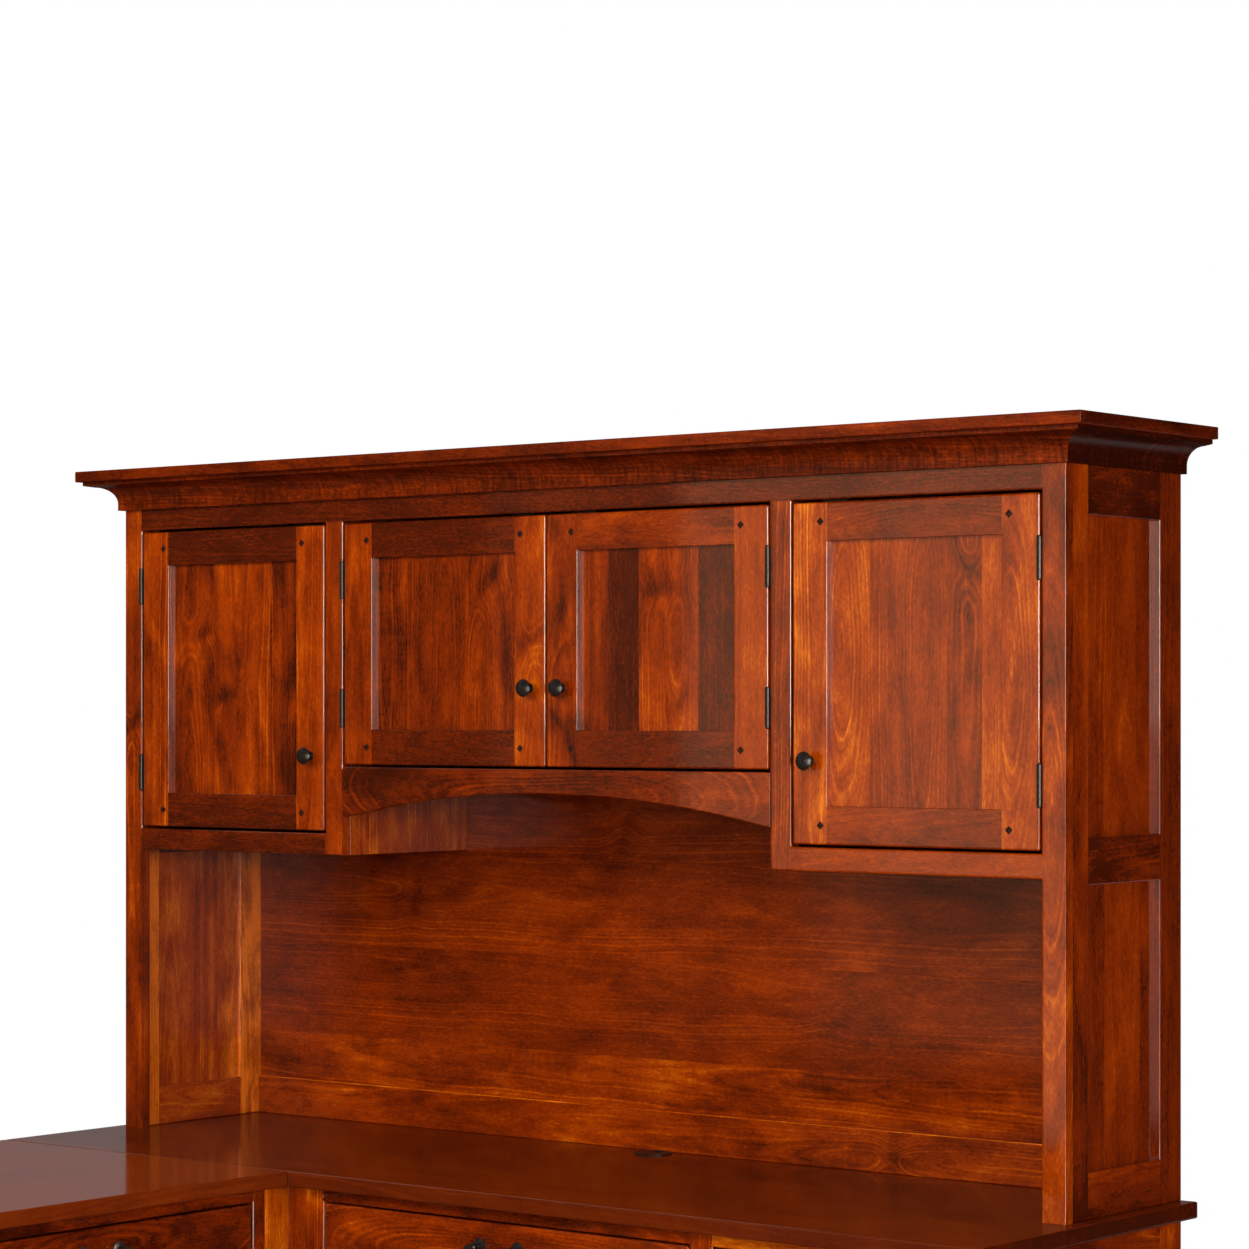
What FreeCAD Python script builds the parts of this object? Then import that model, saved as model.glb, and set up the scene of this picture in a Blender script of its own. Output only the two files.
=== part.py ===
# An L-shaped desk with a hutch, in stained maple with dark metal hardware.
# The main table has a drawer pedestal at its right end, and a return with a pedestal of
# its own runs forward from its left end. The hutch stands on the main table: an open bay
# below, cabinets behind four frame-and-panel doors above, and a coved crown on top.
# X runs along the main table, Y from its user to its back, and Z up. While the pieces are
# modelled, X starts at the left end of the case, Y at the hutch's face and Z at the floor.
# Each node is then moved so that the origin lies on the floor, at the middle of the desk.
import FreeCAD, Part
import math
import os

V = FreeCAD.Vector
ALONG_X = V(1, 0, 0)
ALONG_Y = V(0, 1, 0)
ALONG_Z = V(0, 0, 1)

# Case and tops
CASE_WIDTH = 1930.0
DESK_HEIGHT = 762.0
TOP_THICK = 25.0
TOP_OVERHANG = 25.0
TOP_BACK_OVERHANG = 6.0
TOP_EASE = 3.0
MAIN_FACE_REACH = 233.0
RETURN_WIDTH = 621.0
RETURN_LENGTH = 1212.0

# Frames, panels and inner boards
FRAME_THICK = 20.0
BOARD_THICK = 18.0
PANEL_THICK = 6.0
PANEL_RECESS = 9.0
GROOVE_DEPTH = 8.0

# Hutch, with heights above the desk's surface
HUTCH_DEPTH = 330.0
DOOR_HEAD = 1050.5
HEAD_RAIL = 36.5
OUTER_BAY_HEIGHT = 522.5
OUTER_RAIL = 36.5
CENTRE_BAY_HEIGHT = 410.5
VALANCE_END = 84.5
VALANCE_RISE = 46.0
POST_WIDTH = 40.0
MID_STILE = 39.0
CEILING_LIFT = 18.0
SHELF_SETBACK = 6.0
END_FRONT_STILE = 62.0
END_BACK_STILE = 64.0
END_TOP_RAIL = 71.0
END_MID_RAIL = 68.0
END_MID_RAIL_LIFT = 22.5
END_BASE_RAIL = 68.0
BACK_BOARD_WIDTH = 164.0
BACK_BOARD_THICK = 6.0
BACK_BOARD_SETBACK = 6.0
BACK_RAIL_HEIGHT = 68.0
BACK_RAIL_THICK = 18.0

# Crown
CAP_THICK = 18.5
CAP_OVERHANG = 63.0
CAP_EASE = 1.5
CROWN_LIP = 9.5
CROWN_LIP_HEIGHT = 12.0
COVE_RADIUS = 28.5
CROWN_FILLET_HEIGHT = 6.5
CROWN_FILLET_SETBACK = 10.0
CROWN_SLOPE = 2.5

# Doors
DOOR_GAP = 4.0
DOOR_STILE = 63.0
DOOR_RAIL = 58.5
PEG_SIZE = 9.5
PEG_DEPTH = 8.0
PEG_PROUD = 1.6
PEG_FLAT = 5.0
PEG_TURN = 45.0
PEG_INSET = 12.0

# Butt hinges
HINGE_LENGTH = 60.0
HINGE_INSET = 64.0
BARREL_RADIUS = 3.5
PIN_RADIUS = 1.5
PIN_CLEARANCE = 0.05
KNUCKLES = 5
KNUCKLE_GAP = 0.3
LEAF_CLEARANCE = 0.3
LEAF_DEPTH = 17.0
TIP_HEIGHT = 2.4
TIP_RADIUS = 2.9

# Knobs and catches
KNOB_RADIUS = 14.4
KNOB_NECK = 5.5
KNOB_COLLAR = 8.0
KNOB_COLLAR_HEIGHT = 3.0
KNOB_SHOULDER = 10.0
KNOB_RIM = 16.0
KNOB_REACH = 26.0
KNOB_RISE = 126.0
CATCH_WIDTH = 44.0
CATCH_DEPTH = 22.0
CATCH_DROP = 30.0
CATCH_CLEARANCE = 0.3

# Desk base
TOP_RAIL = 21.0
CORNER_STILE = 79.0
PEDESTAL_STILE = 41.0
PEDESTAL_WIDTH = 415.0
RETURN_FILLER = 52.0
RETURN_CORNER_STILE = 27.0
RETURN_PEDESTAL_WIDTH = 400.0
WALL_STILE = 64.0
WALL_RAIL = 68.0
WALL_LIFT = 40.0
BACK_BAYS = 4
RETURN_BAYS = 3
GLIDE_HEIGHT = 6.0
GLIDE_RADIUS = 9.0
GLIDE_TAPER = 1.5

# Drawers and their runners
DRAWER_GAP = 3.0
PENCIL_FRONT = 95.0
UPPER_OPENING = 220.0
DIVIDER_RAIL = 20.0
FRONT_EASE = 2.0
BOX_SIDE = 12.0
BOX_BOTTOM = 6.0
BOX_BOTTOM_LIFT = 8.0
BOX_RISE = 14.0
BOX_DROP = 20.0
PENCIL_SIDE_SPACE = 14.0
PEDESTAL_BACK_CLEARANCE = 60.0
PENCIL_BACK_CLEARANCE = 120.0
RUNNER_THICK = 12.0
RUNNER_CLEARANCE = 0.3
GUIDE_CLEARANCE = 0.5
RUNNER_EXTRA = 20.0

# Drop pulls
PULL_SPACING = 76.0
PULL_LIFT = 10.0
ROSETTE_RADIUS = 12.5
ROSETTE_EDGE = 1.6
ROSETTE_DOME = 2.4
POST_NECK = 4.6
POST_HEAD = 7.0
PIVOT_REACH = 17.0
BAIL_RADIUS = 2.8
BAIL_ARM = 13.0
BAIL_DROP = 30.0
BAIL_SHOULDER_BEND = 5.0
BAIL_BEND = 9.0
BAIL_PIN_RADIUS = 2.0
BAIL_PIN_CLEARANCE = 0.05
BAIL_PIN_LENGTH = 9.0
BAIL_PIN_ROOT = 2.0
BAIL_END_CLEARANCE = 0.4

# Cable grommet
GROMMET_RADIUS = 32.0
GROMMET_LIP = 2.5
GROMMET_TUBE = 29.0
GROMMET_WALL = 2.5
GROMMET_LEDGE = 2.5
GROMMET_RAIL_CLEARANCE = 3.0
GROMMET_CAP_THICK = 3.0
GROMMET_CAP_CLEARANCE = 0.3
GROMMET_SEAT_CLEARANCE = 0.1
NOTCH_RADIUS = 8.0
NOTCH_CENTRE = 13.0

# Planes and levels worked out from the sizes above
TOP_UNDERSIDE = DESK_HEIGHT - TOP_THICK
MAIN_FACE_Y = -MAIN_FACE_REACH
MAIN_FRONT_Y = MAIN_FACE_Y - TOP_OVERHANG
RETURN_END_Y = MAIN_FACE_Y - RETURN_LENGTH
RETURN_FRONT_Y = RETURN_END_Y - TOP_OVERHANG
TOP_BACK_Y = HUTCH_DEPTH + TOP_BACK_OVERHANG
MAIN_INNER_BACK_Y = HUTCH_DEPTH - FRAME_THICK
OUTER_SILL = DOOR_HEAD - OUTER_BAY_HEIGHT
CENTRE_SILL = DOOR_HEAD - CENTRE_BAY_HEIGHT
END_MID_RAIL_TOP = OUTER_SILL + END_MID_RAIL_LIFT
CROWN_SEAT = DOOR_HEAD + HEAD_RAIL
CROWN_HEIGHT = CROWN_LIP_HEIGHT + COVE_RADIUS + CROWN_SLOPE + CROWN_FILLET_HEIGHT
HUTCH_TOP = CROWN_SEAT + CROWN_HEIGHT
DOOR_BAY = (CASE_WIDTH - 2 * POST_WIDTH - 2 * MID_STILE) / 4
MID_STILE_X = POST_WIDTH + DOOR_BAY
CENTRE_X0 = MID_STILE_X + MID_STILE
CENTRE_X1 = CASE_WIDTH - CENTRE_X0
BACK_BOARD_FRONT_Y = HUTCH_DEPTH - BACK_BOARD_SETBACK - BACK_BOARD_THICK
BORE_RADIUS = PIN_RADIUS + PIN_CLEARANCE
OPENING_TOP = TOP_UNDERSIDE - TOP_RAIL
PEDESTAL_FLOOR = WALL_LIFT + WALL_RAIL
KNEE_X0 = RETURN_WIDTH + CORNER_STILE
PEDESTAL_X1 = CASE_WIDTH - POST_WIDTH
PEDESTAL_X0 = PEDESTAL_X1 - PEDESTAL_WIDTH
KNEE_X1 = PEDESTAL_X0 - PEDESTAL_STILE
RETURN_STILE_Y = MAIN_FACE_Y - RETURN_FILLER
RETURN_KNEE_Y1 = RETURN_STILE_Y - RETURN_CORNER_STILE
RETURN_PEDESTAL_Y0 = RETURN_END_Y + POST_WIDTH
RETURN_PEDESTAL_Y1 = RETURN_PEDESTAL_Y0 + RETURN_PEDESTAL_WIDTH
RETURN_KNEE_Y0 = RETURN_PEDESTAL_Y1 + PEDESTAL_STILE
GROMMET_X = CASE_WIDTH / 2
GROMMET_Y = HUTCH_DEPTH - BACK_RAIL_THICK - GROMMET_RAIL_CLEARANCE - GROMMET_RADIUS
ORIGIN_SHIFT = V(-CASE_WIDTH / 2, -(TOP_BACK_Y + RETURN_FRONT_Y) / 2, 0)


def board(x0, x1, y0, y1, z0, z1):
    """A square-edged board between two limits on each axis, given in either order."""
    corner = V(min(x0, x1), min(y0, y1), min(z0, z1))
    return Part.makeBox(abs(x1 - x0), abs(y1 - y0), abs(z1 - z0), corner)


def facing_y(face_y, inward):
    """Boards of a wall that runs along X: u is X, and d is the depth behind its face."""
    def lay(u0, u1, d0, d1, z0, z1):
        return board(u0, u1, face_y + inward * d0, face_y + inward * d1, z0, z1)
    return lay


def facing_x(face_x, inward):
    """Boards of a wall that runs along Y: u is Y, and d is the depth behind its face."""
    def lay(u0, u1, d0, d1, z0, z1):
        return board(face_x + inward * d0, face_x + inward * d1, u0, u1, z0, z1)
    return lay


HUTCH_FACE = facing_y(0.0, 1)
HUTCH_LEFT = facing_x(0.0, 1)
HUTCH_RIGHT = facing_x(CASE_WIDTH, -1)
MAIN_FACE = facing_y(MAIN_FACE_Y, 1)
MAIN_BACK = facing_y(HUTCH_DEPTH, -1)
RETURN_FACE = facing_x(RETURN_WIDTH, -1)
RETURN_END = facing_y(RETURN_END_Y, 1)


def save(node, solids):
    """Write a node's solids, moved to the desk's own origin, as one file."""
    shape = solids[0] if len(solids) == 1 else Part.makeCompound(solids)
    shape = shape.copy()
    shape.translate(ORIGIN_SHIFT)
    shape.exportStep(f"parts/{node}.step")


def framed_wall(lay, stiles, rails, foot, head):
    """A frame of stiles and rails, and the flat panels held in its grooves."""
    members = [lay(u0, u1, 0, FRAME_THICK, foot, head) for u0, u1 in stiles]
    panels = []
    for left, right in zip(stiles, stiles[1:]):
        for z0, z1 in rails:
            members.append(lay(left[1], right[0], 0, FRAME_THICK, z0, z1))
        for lower, upper in zip(rails, rails[1:]):
            panels.append(lay(left[1] - GROOVE_DEPTH, right[0] + GROOVE_DEPTH,
                              PANEL_RECESS, PANEL_RECESS + PANEL_THICK,
                              lower[1] - GROOVE_DEPTH, upper[0] + GROOVE_DEPTH))
    grooves = Part.makeCompound(panels)
    return [member.cut(grooves).Solids[0] for member in members], panels


def even_stiles(u0, u1, width, bays):
    """Stile limits that share a wall out into equal bays."""
    step = (u1 - u0 - width) / bays
    return [(u0 + step * n, u0 + step * n + width) for n in range(bays + 1)]


def eased(solid, radius):
    """A board with all of its edges rounded over."""
    return solid.makeFillet(radius, solid.Edges)


def turned(points, tip):
    """A turned piece about the Y axis from (radius, reach) points, closed by a dome that ends at tip."""
    corners = [V(radius, -reach, 0) for radius, reach in points]
    edges = [Part.makeLine(a, b) for a, b in zip(corners, corners[1:])]
    rim_radius, rim_reach = points[-1]
    rise = tip - rim_reach
    dome_radius = (rim_radius ** 2 + rise ** 2) / (2 * rise)
    half_angle = math.atan2(rim_radius, dome_radius - rise) / 2
    shoulder = V(dome_radius * math.sin(half_angle), dome_radius * (1 - math.cos(half_angle)) - tip, 0)
    edges.append(Part.Arc(corners[-1], shoulder, V(0, -tip, 0)).toShape())
    edges.append(Part.makeLine(V(0, -tip, 0), corners[0]))
    return Part.Face(Part.Wire(edges)).revolve(V(0, 0, 0), ALONG_Y, 360)


def build_crown():
    """The flat cap, and the coved moulding mitred round the front and both ends below it."""
    seat = DESK_HEIGHT + CROWN_SEAT
    cap_base = DESK_HEIGHT + HUTCH_TOP
    cap = board(-CAP_OVERHANG, CASE_WIDTH + CAP_OVERHANG, -CAP_OVERHANG, HUTCH_DEPTH,
                cap_base, cap_base + CAP_THICK)
    save("crown_cap", [eased(cap, CAP_EASE)])

    # The profile's first number is the reach from the case, the second the height
    fillet_reach = CAP_OVERHANG - CROWN_FILLET_SETBACK
    cove_top = CROWN_LIP_HEIGHT + COVE_RADIUS
    fillet_base = CROWN_HEIGHT - CROWN_FILLET_HEIGHT
    diagonal = COVE_RADIUS * (1 - 0.5 ** 0.5)
    lip_top = V(0, -CROWN_LIP, CROWN_LIP_HEIGHT)
    cove_middle = V(0, -CROWN_LIP - diagonal, cove_top - diagonal)
    cove_end = V(0, -CROWN_LIP - COVE_RADIUS, cove_top)
    outline = [cove_end, V(0, -fillet_reach, fillet_base), V(0, -fillet_reach, CROWN_HEIGHT),
               V(0, 0, CROWN_HEIGHT), V(0, 0, 0), V(0, -CROWN_LIP, 0), lip_top]
    edges = [Part.makeLine(a, b) for a, b in zip(outline, outline[1:])]
    edges.append(Part.Arc(lip_top, cove_middle, cove_end).toShape())
    profile = Part.Face(Part.Wire(edges))
    profile.translate(V(0, 0, seat))

    # Each length of moulding is cut at 45 degrees where it meets the next one
    reach = CAP_OVERHANG
    front = profile.copy()
    front.translate(V(-reach, 0, 0))
    front = front.extrude(ALONG_X * (CASE_WIDTH + 2 * reach))
    front_plan = [V(-reach, -reach, seat), V(CASE_WIDTH + reach, -reach, seat),
                  V(CASE_WIDTH, 0, seat), V(0, 0, seat)]
    left = profile.copy()
    left.rotate(V(0, 0, 0), ALONG_Z, -90)
    left.translate(V(0, -reach, 0))
    left = left.extrude(ALONG_Y * (HUTCH_DEPTH + reach))
    left_plan = [V(-reach, -reach, seat), V(0, 0, seat), V(0, HUTCH_DEPTH, seat),
                 V(-reach, HUTCH_DEPTH, seat)]
    lengths = []
    for moulding, plan in ((front, front_plan), (left, left_plan)):
        block = Part.Face(Part.makePolygon(plan + plan[:1])).extrude(ALONG_Z * CROWN_HEIGHT)
        lengths.append(moulding.common(block).Solids[0])
    lengths.append(lengths[1].mirror(V(CASE_WIDTH / 2, 0, 0), ALONG_X))
    save("crown_moulding", lengths)


def build_hutch_case():
    """The face frame, ends, back and cabinet boards of the hutch."""
    floor = DESK_HEIGHT
    head = floor + HUTCH_TOP
    door_head = floor + DOOR_HEAD
    outer_sill = floor + OUTER_SILL
    centre_sill = floor + CENTRE_SILL
    stile_foot = outer_sill - OUTER_RAIL
    right_post = CASE_WIDTH - POST_WIDTH
    inner_right = CASE_WIDTH - FRAME_THICK

    frame = [HUTCH_FACE(0, POST_WIDTH, 0, FRAME_THICK, floor, head),
             HUTCH_FACE(right_post, CASE_WIDTH, 0, FRAME_THICK, floor, head),
             HUTCH_FACE(POST_WIDTH, right_post, 0, FRAME_THICK, door_head, head),
             HUTCH_FACE(MID_STILE_X, CENTRE_X0, 0, FRAME_THICK, stile_foot, door_head),
             HUTCH_FACE(CENTRE_X1, CENTRE_X1 + MID_STILE, 0, FRAME_THICK, stile_foot, door_head),
             HUTCH_FACE(POST_WIDTH, MID_STILE_X, 0, FRAME_THICK, stile_foot, outer_sill),
             HUTCH_FACE(CENTRE_X1 + MID_STILE, right_post, 0, FRAME_THICK, stile_foot, outer_sill)]
    save("hutch_face_frame", frame)

    # The valance's lower edge is one shallow arc from mid stile to mid stile
    spring = centre_sill - VALANCE_END
    ends = [V(CENTRE_X0, 0, spring), V(CENTRE_X1, 0, spring)]
    corners = [V(CENTRE_X1, 0, centre_sill), V(CENTRE_X0, 0, centre_sill)]
    crest = V(CASE_WIDTH / 2, 0, spring + VALANCE_RISE)
    edges = [Part.Arc(ends[0], crest, ends[1]).toShape(), Part.makeLine(ends[1], corners[0]),
             Part.makeLine(corners[0], corners[1]), Part.makeLine(corners[1], ends[0])]
    valance = Part.Face(Part.Wire(edges)).extrude(ALONG_Y * FRAME_THICK)
    save("arched_valance", [valance])

    stiles = [(FRAME_THICK, END_FRONT_STILE), (HUTCH_DEPTH - END_BACK_STILE, HUTCH_DEPTH)]
    mid_top = floor + END_MID_RAIL_TOP
    rails = [(floor, floor + END_BASE_RAIL), (mid_top - END_MID_RAIL, mid_top),
             (floor + CROWN_SEAT - END_TOP_RAIL, head)]
    end_frames = []
    end_panels = []
    for lay in (HUTCH_LEFT, HUTCH_RIGHT):
        members, panels = framed_wall(lay, stiles, rails, floor, head)
        end_frames += members
        end_panels += panels
    save("hutch_end_frames", end_frames)
    save("hutch_end_panels", end_panels)

    # The back's boards are laid from the top down, the lowest one cut to meet the base rail
    rail_top = floor + BACK_RAIL_HEIGHT
    back = [board(FRAME_THICK, inner_right, HUTCH_DEPTH - BACK_RAIL_THICK, HUTCH_DEPTH, floor, rail_top)]
    upper_edge = head
    while upper_edge > rail_top:
        lower_edge = max(upper_edge - BACK_BOARD_WIDTH, rail_top)
        back.append(board(FRAME_THICK, inner_right, BACK_BOARD_FRONT_Y,
                          BACK_BOARD_FRONT_Y + BACK_BOARD_THICK, lower_edge, upper_edge))
        upper_edge = lower_edge
    save("hutch_back_boards", back)

    # Partitions stand flush with the mid stiles' inner edges, floors flush with the sills
    left_wall = CENTRE_X0 - BOARD_THICK
    right_wall = CENTRE_X1 + BOARD_THICK
    ceiling = door_head + CEILING_LIFT
    cabinets = [(FRAME_THICK, left_wall, outer_sill), (CENTRE_X0, CENTRE_X1, centre_sill),
                (right_wall, inner_right, outer_sill)]
    carcass = [board(left_wall, CENTRE_X0, FRAME_THICK, BACK_BOARD_FRONT_Y, stile_foot, head),
               board(CENTRE_X1, right_wall, FRAME_THICK, BACK_BOARD_FRONT_Y, stile_foot, head)]
    shelves = []
    for x0, x1, sill in cabinets:
        carcass.append(board(x0, x1, FRAME_THICK, BACK_BOARD_FRONT_Y, sill - BOARD_THICK, sill))
        carcass.append(board(x0, x1, FRAME_THICK, BACK_BOARD_FRONT_Y, ceiling, ceiling + BOARD_THICK))
        shelf = (sill + door_head) / 2
        shelves.append(board(x0, x1, FRAME_THICK + SHELF_SETBACK, BACK_BOARD_FRONT_Y,
                             shelf - BOARD_THICK / 2, shelf + BOARD_THICK / 2))
    save("hutch_cabinet_boards", carcass)
    save("hutch_shelves", shelves)


def door_bays():
    """Each door's opening: its name, left and right limits, sill and hinge side."""
    middle = CASE_WIDTH / 2
    half_gap = DOOR_GAP / 2
    right_bay = CENTRE_X1 + MID_STILE
    return [("outer_left_door", POST_WIDTH, MID_STILE_X, OUTER_SILL, 1),
            ("centre_left_door", CENTRE_X0, middle + half_gap, CENTRE_SILL, 1),
            ("centre_right_door", middle - half_gap, CENTRE_X1, CENTRE_SILL, -1),
            ("outer_right_door", right_bay, CASE_WIDTH - POST_WIDTH, OUTER_SILL, -1)]


def peg(x, z):
    """A square peg driven into a door stile on its corner, with a faceted head that stands proud."""
    shank = board(x - PEG_SIZE / 2, x + PEG_SIZE / 2, 0, PEG_DEPTH, z - PEG_SIZE / 2, z + PEG_SIZE / 2)
    rims = []
    for size, y in ((PEG_SIZE, 0.0), (PEG_FLAT, -PEG_PROUD)):
        half = size / 2
        rim = [V(x - half, y, z - half), V(x + half, y, z - half), V(x + half, y, z + half),
               V(x - half, y, z + half)]
        rims.append(Part.makePolygon(rim + rim[:1]))
    whole = shank.fuse(Part.makeLoft(rims, True, True)).removeSplitter()
    for solid in (shank, whole):
        solid.rotate(V(x, 0, z), ALONG_Y, PEG_TURN)
    return shank, whole


def hinge(axis_x, z0, side):
    """One butt hinge: the frame's leaf, the door's leaf and the pin, with side +1 for a door to its right."""
    axis_y = -BARREL_RADIUS
    pitch = (HINGE_LENGTH + KNUCKLE_GAP) / KNUCKLES
    knuckle_height = pitch - KNUCKLE_GAP
    bore = Part.makeCylinder(BORE_RADIUS, HINGE_LENGTH, V(axis_x, axis_y, z0), ALONG_Z)
    leaves = []
    for towards, first in ((-side, 0), (side, 1)):
        x_near = axis_x + towards * LEAF_CLEARANCE
        x_far = axis_x + towards * DOOR_GAP / 2
        leaf = board(x_near, x_far, axis_y, LEAF_DEPTH, z0, z0 + HINGE_LENGTH)
        for n in range(KNUCKLES):
            base = V(axis_x, axis_y, z0 + pitch * n)
            if n % 2 == first:
                leaf = leaf.fuse(Part.makeCylinder(BARREL_RADIUS, knuckle_height, base, ALONG_Z))
            else:
                base.z -= KNUCKLE_GAP
                height = knuckle_height + 2 * KNUCKLE_GAP
                leaf = leaf.cut(Part.makeCylinder(BARREL_RADIUS + LEAF_CLEARANCE, height, base, ALONG_Z))
        leaves.append(leaf.cut(bore).removeSplitter().Solids[0])
    pin = Part.makeCylinder(PIN_RADIUS, HINGE_LENGTH, V(axis_x, axis_y, z0), ALONG_Z)
    top_tip = Part.makeCone(TIP_RADIUS, PIN_RADIUS, TIP_HEIGHT, V(axis_x, axis_y, z0 + HINGE_LENGTH), ALONG_Z)
    low_tip = Part.makeCone(TIP_RADIUS, PIN_RADIUS, TIP_HEIGHT, V(axis_x, axis_y, z0), -ALONG_Z)
    return leaves[0], leaves[1], pin.fuse([top_tip, low_tip]).removeSplitter()


def knob(x, z):
    """A turned mushroom knob on a stepped neck, standing out of the door's face."""
    solid = turned([(0.0, 0.0), (KNOB_COLLAR, 0.0), (KNOB_COLLAR, KNOB_COLLAR_HEIGHT),
                    (KNOB_NECK, KNOB_COLLAR_HEIGHT), (KNOB_NECK, KNOB_SHOULDER),
                    (KNOB_COLLAR, KNOB_SHOULDER), (KNOB_RADIUS, KNOB_RIM)], KNOB_REACH)
    solid.translate(V(x, 0, z))
    return solid


def build_doors():
    """Four frame-and-panel doors, each with pegs, a knob and two hinges, and their catches."""
    head = DESK_HEIGHT + DOOR_HEAD
    ceiling = head + CEILING_LIFT
    frame_hinges = []
    catches = []
    for name, bay_x0, bay_x1, sill, side in door_bays():
        x0 = bay_x0 + DOOR_GAP
        x1 = bay_x1 - DOOR_GAP
        z0 = DESK_HEIGHT + sill + DOOR_GAP
        z1 = head - DOOR_GAP
        stiles = [(x0, x0 + DOOR_STILE), (x1 - DOOR_STILE, x1)]
        rails = [(z0, z0 + DOOR_RAIL), (z1 - DOOR_RAIL, z1)]
        members, panels = framed_wall(HUTCH_FACE, stiles, rails, z0, z1)
        pegs = []
        for x in (x0 + DOOR_STILE - PEG_INSET, x1 - DOOR_STILE + PEG_INSET):
            for z in (z0 + DOOR_RAIL / 2, z1 - DOOR_RAIL / 2):
                mortise, solid = peg(x, z)
                members = [member.cut(mortise).Solids[0] for member in members]
                pegs.append(solid)
        save(f"{name}_frame", members)
        save(f"{name}_panel", panels)
        save(f"{name}_pegs", pegs)

        hinge_edge = bay_x0 if side > 0 else bay_x1
        free_edge = x1 if side > 0 else x0
        hardware = [knob(free_edge - side * DOOR_STILE / 2, z0 + KNOB_RISE)]
        for hinge_z in (z0 + HINGE_INSET, z1 - HINGE_INSET - HINGE_LENGTH):
            frame_leaf, door_leaf, pin = hinge(hinge_edge + side * DOOR_GAP / 2, hinge_z, side)
            frame_hinges += [frame_leaf, pin]
            hardware.append(door_leaf)
        save(f"{name}_hardware", hardware)

        catch_x = free_edge - side * DOOR_STILE
        catches.append(board(catch_x - CATCH_WIDTH / 2, catch_x + CATCH_WIDTH / 2,
                             FRAME_THICK + CATCH_CLEARANCE, FRAME_THICK + CATCH_DEPTH,
                             ceiling - CATCH_DROP, ceiling))
    save("hinge_frame_leaves", frame_hinges)
    save("door_catches", catches)


def build_tops():
    """The two worktops, butted where the return meets the main table, and the cable grommet."""
    main = board(-TOP_OVERHANG, CASE_WIDTH + TOP_OVERHANG, MAIN_FRONT_Y, TOP_BACK_Y,
                 TOP_UNDERSIDE, DESK_HEIGHT)
    hole = Part.makeCylinder(GROMMET_TUBE, TOP_THICK, V(GROMMET_X, GROMMET_Y, TOP_UNDERSIDE), ALONG_Z)
    save("desk_main_top", [eased(main, TOP_EASE).cut(hole)])
    side = board(-TOP_OVERHANG, RETURN_WIDTH + TOP_OVERHANG, RETURN_FRONT_Y, MAIN_FRONT_Y,
                 TOP_UNDERSIDE, DESK_HEIGHT)
    save("desk_return_top", [eased(side, TOP_EASE)])

    # The cap turns on a ledge inside the sleeve, with its top level with the sleeve's lip
    centre = V(GROMMET_X, GROMMET_Y, DESK_HEIGHT)
    lip_top = centre + ALONG_Z * GROMMET_LIP
    inner = GROMMET_TUBE - GROMMET_WALL
    seat_drop = GROMMET_CAP_THICK + GROMMET_SEAT_CLEARANCE
    tube_foot = V(GROMMET_X, GROMMET_Y, TOP_UNDERSIDE)
    lip = Part.makeCylinder(GROMMET_RADIUS, GROMMET_LIP, centre, ALONG_Z)
    tube = Part.makeCylinder(GROMMET_TUBE, TOP_THICK, tube_foot, ALONG_Z)
    seat = Part.makeCylinder(inner, seat_drop, lip_top, -ALONG_Z)
    throat = Part.makeCylinder(inner - GROMMET_LEDGE, TOP_THICK + GROMMET_LIP, tube_foot, ALONG_Z)
    save("grommet_sleeve", [lip.fuse(tube).cut(seat).cut(throat).removeSplitter()])

    cap_radius = inner - GROMMET_CAP_CLEARANCE
    cap = Part.makeCylinder(cap_radius, GROMMET_CAP_THICK, lip_top, -ALONG_Z)
    notch_centre = lip_top + ALONG_Y * NOTCH_CENTRE
    notch = Part.makeCylinder(NOTCH_RADIUS, GROMMET_CAP_THICK, notch_centre, -ALONG_Z)
    mouth = board(GROMMET_X - NOTCH_RADIUS, GROMMET_X + NOTCH_RADIUS, notch_centre.y,
                  GROMMET_Y + GROMMET_RADIUS, lip_top.z - GROMMET_CAP_THICK, lip_top.z)
    save("grommet_cap", [cap.cut(notch.fuse(mouth)).removeSplitter()])


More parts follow.
